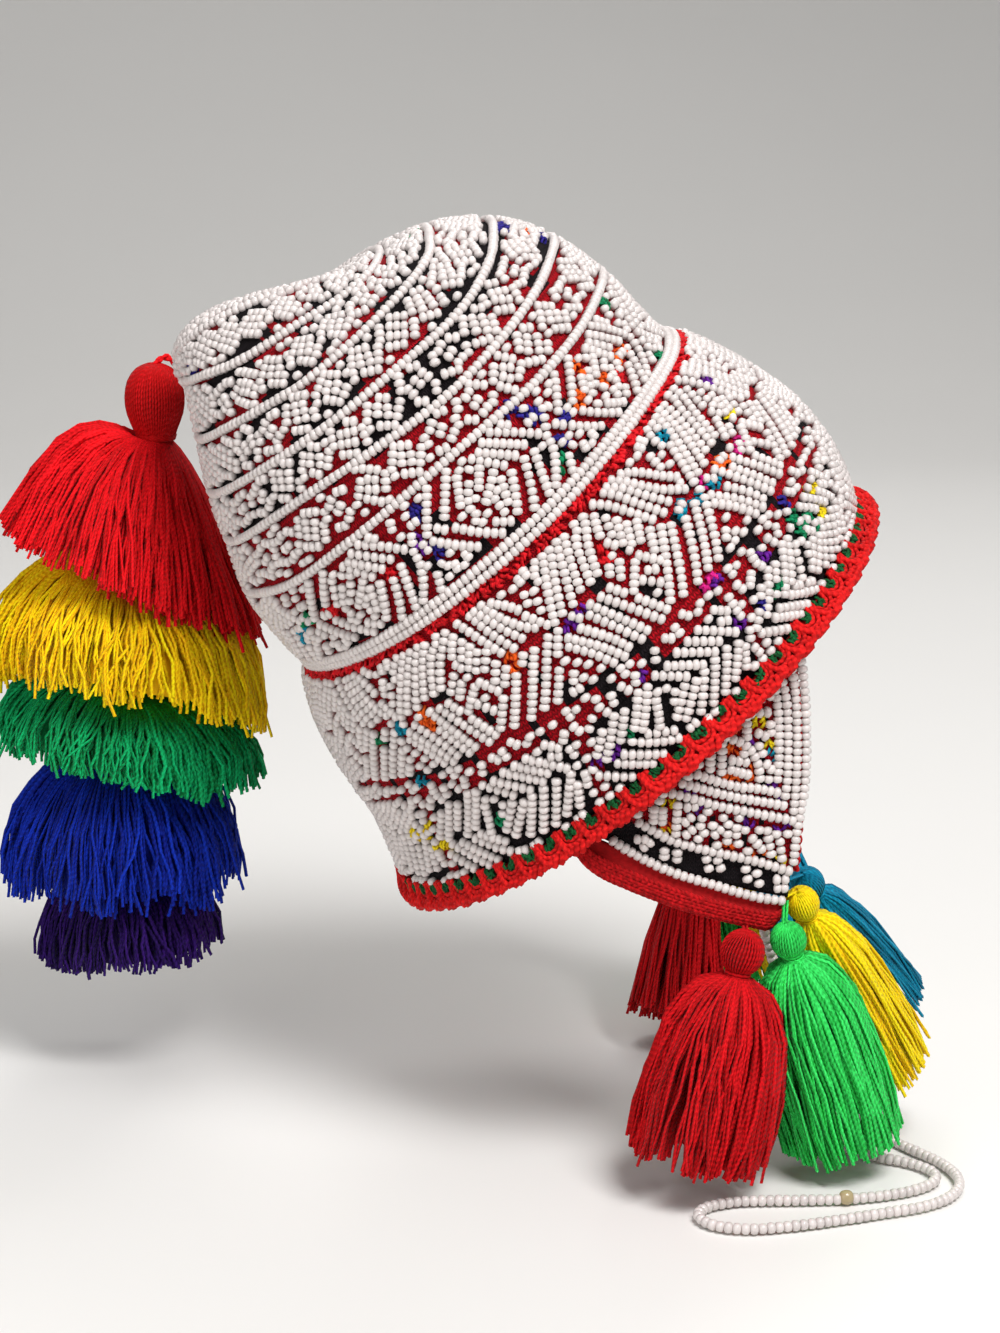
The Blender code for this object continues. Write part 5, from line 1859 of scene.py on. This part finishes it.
    def cord(self):
        """Twisted cord from the folded tip to the head."""
        tip = (crown_point(TIP_ROW, 0.0) + crown_point(TIP_ROW, 180.0)) / 2
        ahead = (crown_point(TIP_ROW, 0.0) - tip).cross(crown_point(TIP_ROW, 90.0) - tip).normalized()
        if ahead.dot(tip - crown_point(TIP_ROW - 1, 0.0)) < 0:
            ahead = -ahead
        start = tip + 0.6 * ahead
        landing = Vector((PEAK_HEAD_X, PEAK_HEAD_Y, PEAK_HEAD_ROWS[0][0] + 1.5))
        bend = start + 3.0 * ahead
        route = smooth_route((
            start - 2.0 * ahead, start + 1.5 * ahead, bend,
            bend.lerp(landing, 0.5) + Vector((1.0, 2.0, 0.0)),
            landing + Vector((4.0, 0.5, 0.5)), landing - 1.5 * Z_AXIS,
        ), 0.7)
        yarn = Yarn()
        for phase in (0.0, math.pi):
            yarn.strand(twisted(route, phase, 0.8, 0.6, Y_AXIS, Z_AXIS), 1.0, 0.5)
        return yarn


class CHULLO_OT_chin_strap(Operator):
    """String the chin strap and its knot bead"""

    bl_idname = "chullo.chin_strap"
    bl_label = "Chin strap"

    def execute(self, context):
        beads = context.scene.chullo_beads
        form = bead_form("strap_bead", STRAP_BEAD_PROFILE, 9)
        glass = glass_material("white_glass", beads.white)
        for name, route in (("near", STRAP_NEAR_ROUTE), ("far", STRAP_FAR_ROUTE)):
            points = smooth_route(route, beads.strap_pitch / MM)
            last = len(points) - 1
            threads = [
                (points[min(index + 1, last)] - points[max(index - 1, 0)]).normalized()
                for index in range(last + 1)
            ]
            sizes = (STRAP_DIAMETER * MM, beads.strap_pitch * 1.02, 0.04)
            run = f"chin_strap_{name}"
            string_beads(f"{run}_beads", points, threads, form, sizes, beads.seed + 20, glass, run)
        tan = glass_material("tan_glass", beads.tan, 0.2)
        finish_piece(show(self.make_knot(), tan), "tan_bead", "strap_knot")
        return {"FINISHED"}

    def make_knot(self):
        """Rounded bead between the two runs."""
        start = Vector(STRAP_NEAR_ROUTE[-1])
        end = Vector(STRAP_FAR_ROUTE[0])
        along = (end - start).normalized()
        middle = (start + end) / 2 + (KNOT_DIAMETER - STRAP_DIAMETER) / 2 * Z_AXIS
        first = along.cross(Z_AXIS).normalized()
        second = along.cross(first)
        rings = []
        for step in range(13):
            turn = math.pi * (0.08 + 0.84 * step / 12)
            centre = middle - math.cos(turn) * KNOT_LENGTH / 2 * along
            reach = KNOT_DIAMETER / 2 * math.sin(turn) ** 0.6
            rings.append([
                hang_point(centre, centre, first, second, 0.0, reach, 2 * math.pi * side / 24)
                for side in range(24)
            ])
        mesh = plain_mesh("strap_knot_bead", rings)
        store(mesh, "tint", [0.5] * len(mesh.vertices))
        return mesh


class CHULLO_OT_studio(Operator):
    """Set the pale floor, the soft lights and the camera"""

    bl_idname = "chullo.studio"
    bl_label = "Studio"

    def execute(self, context):
        studio = context.scene.chullo_studio
        self.make_floor(studio)
        self.make_lights(studio)
        self.make_camera(context, studio)
        context.scene.view_settings.view_transform = "Standard"
        return {"FINISHED"}

    def make_floor(self, studio):
        """Floor that curves up into a backdrop behind the hat."""
        material, shader, build = new_material("pale_floor", {"Roughness": 0.6})
        drifting = shaded_colour(build, studio.floor, add_drift(build, 3.0, 0.05))
        build.feed(shader.inputs["Base Color"], drifting)
        level = FLOOR_Z * MM - 0.0003
        profile = [(-4.0, level)]
        for step in range(13):
            turn = math.pi / 2 * step / 12
            profile.append((1.2 + math.sin(turn), level + 1 - math.cos(turn)))
        profile.append((2.2, 5.0))
        shape = bmesh.new()
        lines = [[shape.verts.new((x, y, z)) for y, z in profile] for x in (-5.0, 5.0)]
        for index in range(len(profile) - 1):
            shape.faces.new((lines[0][index], lines[1][index], lines[1][index + 1], lines[0][index + 1]))
        mesh = bpy.data.meshes.new("studio_floor")
        shape.to_mesh(mesh)
        shape.free()
        mesh.shade_smooth()
        show(mesh, material)

    def make_lights(self, studio):
        """Three soft lights that face the hat, and a pale room round it."""
        for name, place, size, power in (
            ("key_light", (0.3, -0.72, 1.15), 0.6, studio.key_power),
            ("fill_light", (-1.1, -0.9, 0.4), 1.2, studio.fill_power),
            ("rim_light", (0.2, 0.9, 1.1), 0.8, studio.rim_power),
        ):
            light = bpy.data.lights.new(name, "AREA")
            light.size = size
            light.energy = power
            item = bpy.data.objects.new(name, light)
            bpy.context.scene.collection.objects.link(item)
            item.location = place
            item.rotation_euler = (-Vector(place)).to_track_quat("-Z", "Y").to_euler()
        world = bpy.data.worlds.new("soft_room")
        world.use_nodes = True
        background = world.node_tree.nodes["Background"]
        background.inputs["Color"].default_value = (1.0, 1.0, 1.0, 1.0)
        background.inputs["Strength"].default_value = 0.26
        bpy.context.scene.world = world

    def make_camera(self, context, studio):
        """Camera at the photograph's angle; the focal length is 3000 px on a 1333 px side."""
        lens_px = 3000.0
        long_side_px = 1333.0
        short_side_px = 1000.0
        opening_px = (637.0, 690.0)
        camera = bpy.data.cameras.new("camera")
        camera.sensor_width = 36.0
        camera.lens = camera.sensor_width * lens_px / long_side_px
        azimuth = math.radians(studio.azimuth)
        elevation = math.radians(studio.elevation)
        backward = Vector((
            math.sin(azimuth) * math.cos(elevation),
            -math.cos(azimuth) * math.cos(elevation),
            math.sin(elevation),
        ))
        right = (-backward).cross(Z_AXIS).normalized()
        up = right.cross(-backward)
        ray = (
            -backward
            + (opening_px[0] - short_side_px / 2) / lens_px * right
            - (opening_px[1] - long_side_px / 2) / lens_px * up
        )
        item = bpy.data.objects.new("camera", camera)
        context.scene.collection.objects.link(item)
        turn = Matrix((right, up, backward)).transposed().to_4x4()
        item.matrix_world = Matrix.Translation(-studio.distance * ray) @ turn
        context.scene.camera = item


class CHULLO_PT_panel(Panel):
    """Sizes and colours of the hat, and a button for each group of pieces"""

    bl_idname = "CHULLO_PT_panel"
    bl_label = "Chullo hat"
    bl_space_type = "VIEW_3D"
    bl_region_type = "UI"
    bl_category = "Chullo"

    def draw(self, context):
        layout = self.layout
        for settings in (context.scene.chullo_beads, context.scene.chullo_wool, context.scene.chullo_studio):
            box = layout.box()
            box.label(text=type(settings).__doc__)
            for name in settings.__annotations__:
                box.prop(settings, name)
        for operator in OPERATORS:
            layout.operator(operator.bl_idname)


OPERATORS = (
    CHULLO_OT_studio,
    CHULLO_OT_crown_ground,
    CHULLO_OT_crown_beads,
    CHULLO_OT_wool_stitches,
    CHULLO_OT_brim_trim,
    CHULLO_OT_ear_flaps,
    CHULLO_OT_flap_bands,
    CHULLO_OT_flap_tassels,
    CHULLO_OT_peak_tassel,
    CHULLO_OT_chin_strap,
)
SETTINGS = {
    "chullo_beads": ChulloBeadSettings,
    "chullo_wool": ChulloWoolSettings,
    "chullo_studio": ChulloStudioSettings,
}


def register():
    for name, settings in SETTINGS.items():
        bpy.utils.register_class(settings)
        setattr(bpy.types.Scene, name, PointerProperty(type=settings))
    for item in (*OPERATORS, CHULLO_PT_panel):
        bpy.utils.register_class(item)


def unregister():
    for item in reversed((*OPERATORS, CHULLO_PT_panel)):
        bpy.utils.unregister_class(item)
    for name, settings in SETTINGS.items():
        delattr(bpy.types.Scene, name)
        bpy.utils.unregister_class(settings)


def main():
    """Register and make every piece in order."""
    register()
    bpy.ops.chullo.studio()
    bpy.ops.chullo.crown_ground()
    bpy.ops.chullo.crown_beads()
    bpy.ops.chullo.wool_stitches()
    bpy.ops.chullo.brim_trim()
    bpy.ops.chullo.ear_flaps()
    bpy.ops.chullo.flap_bands()
    bpy.ops.chullo.flap_tassels()
    bpy.ops.chullo.peak_tassel()
    bpy.ops.chullo.chin_strap()


if __name__ == "__main__":
    main()
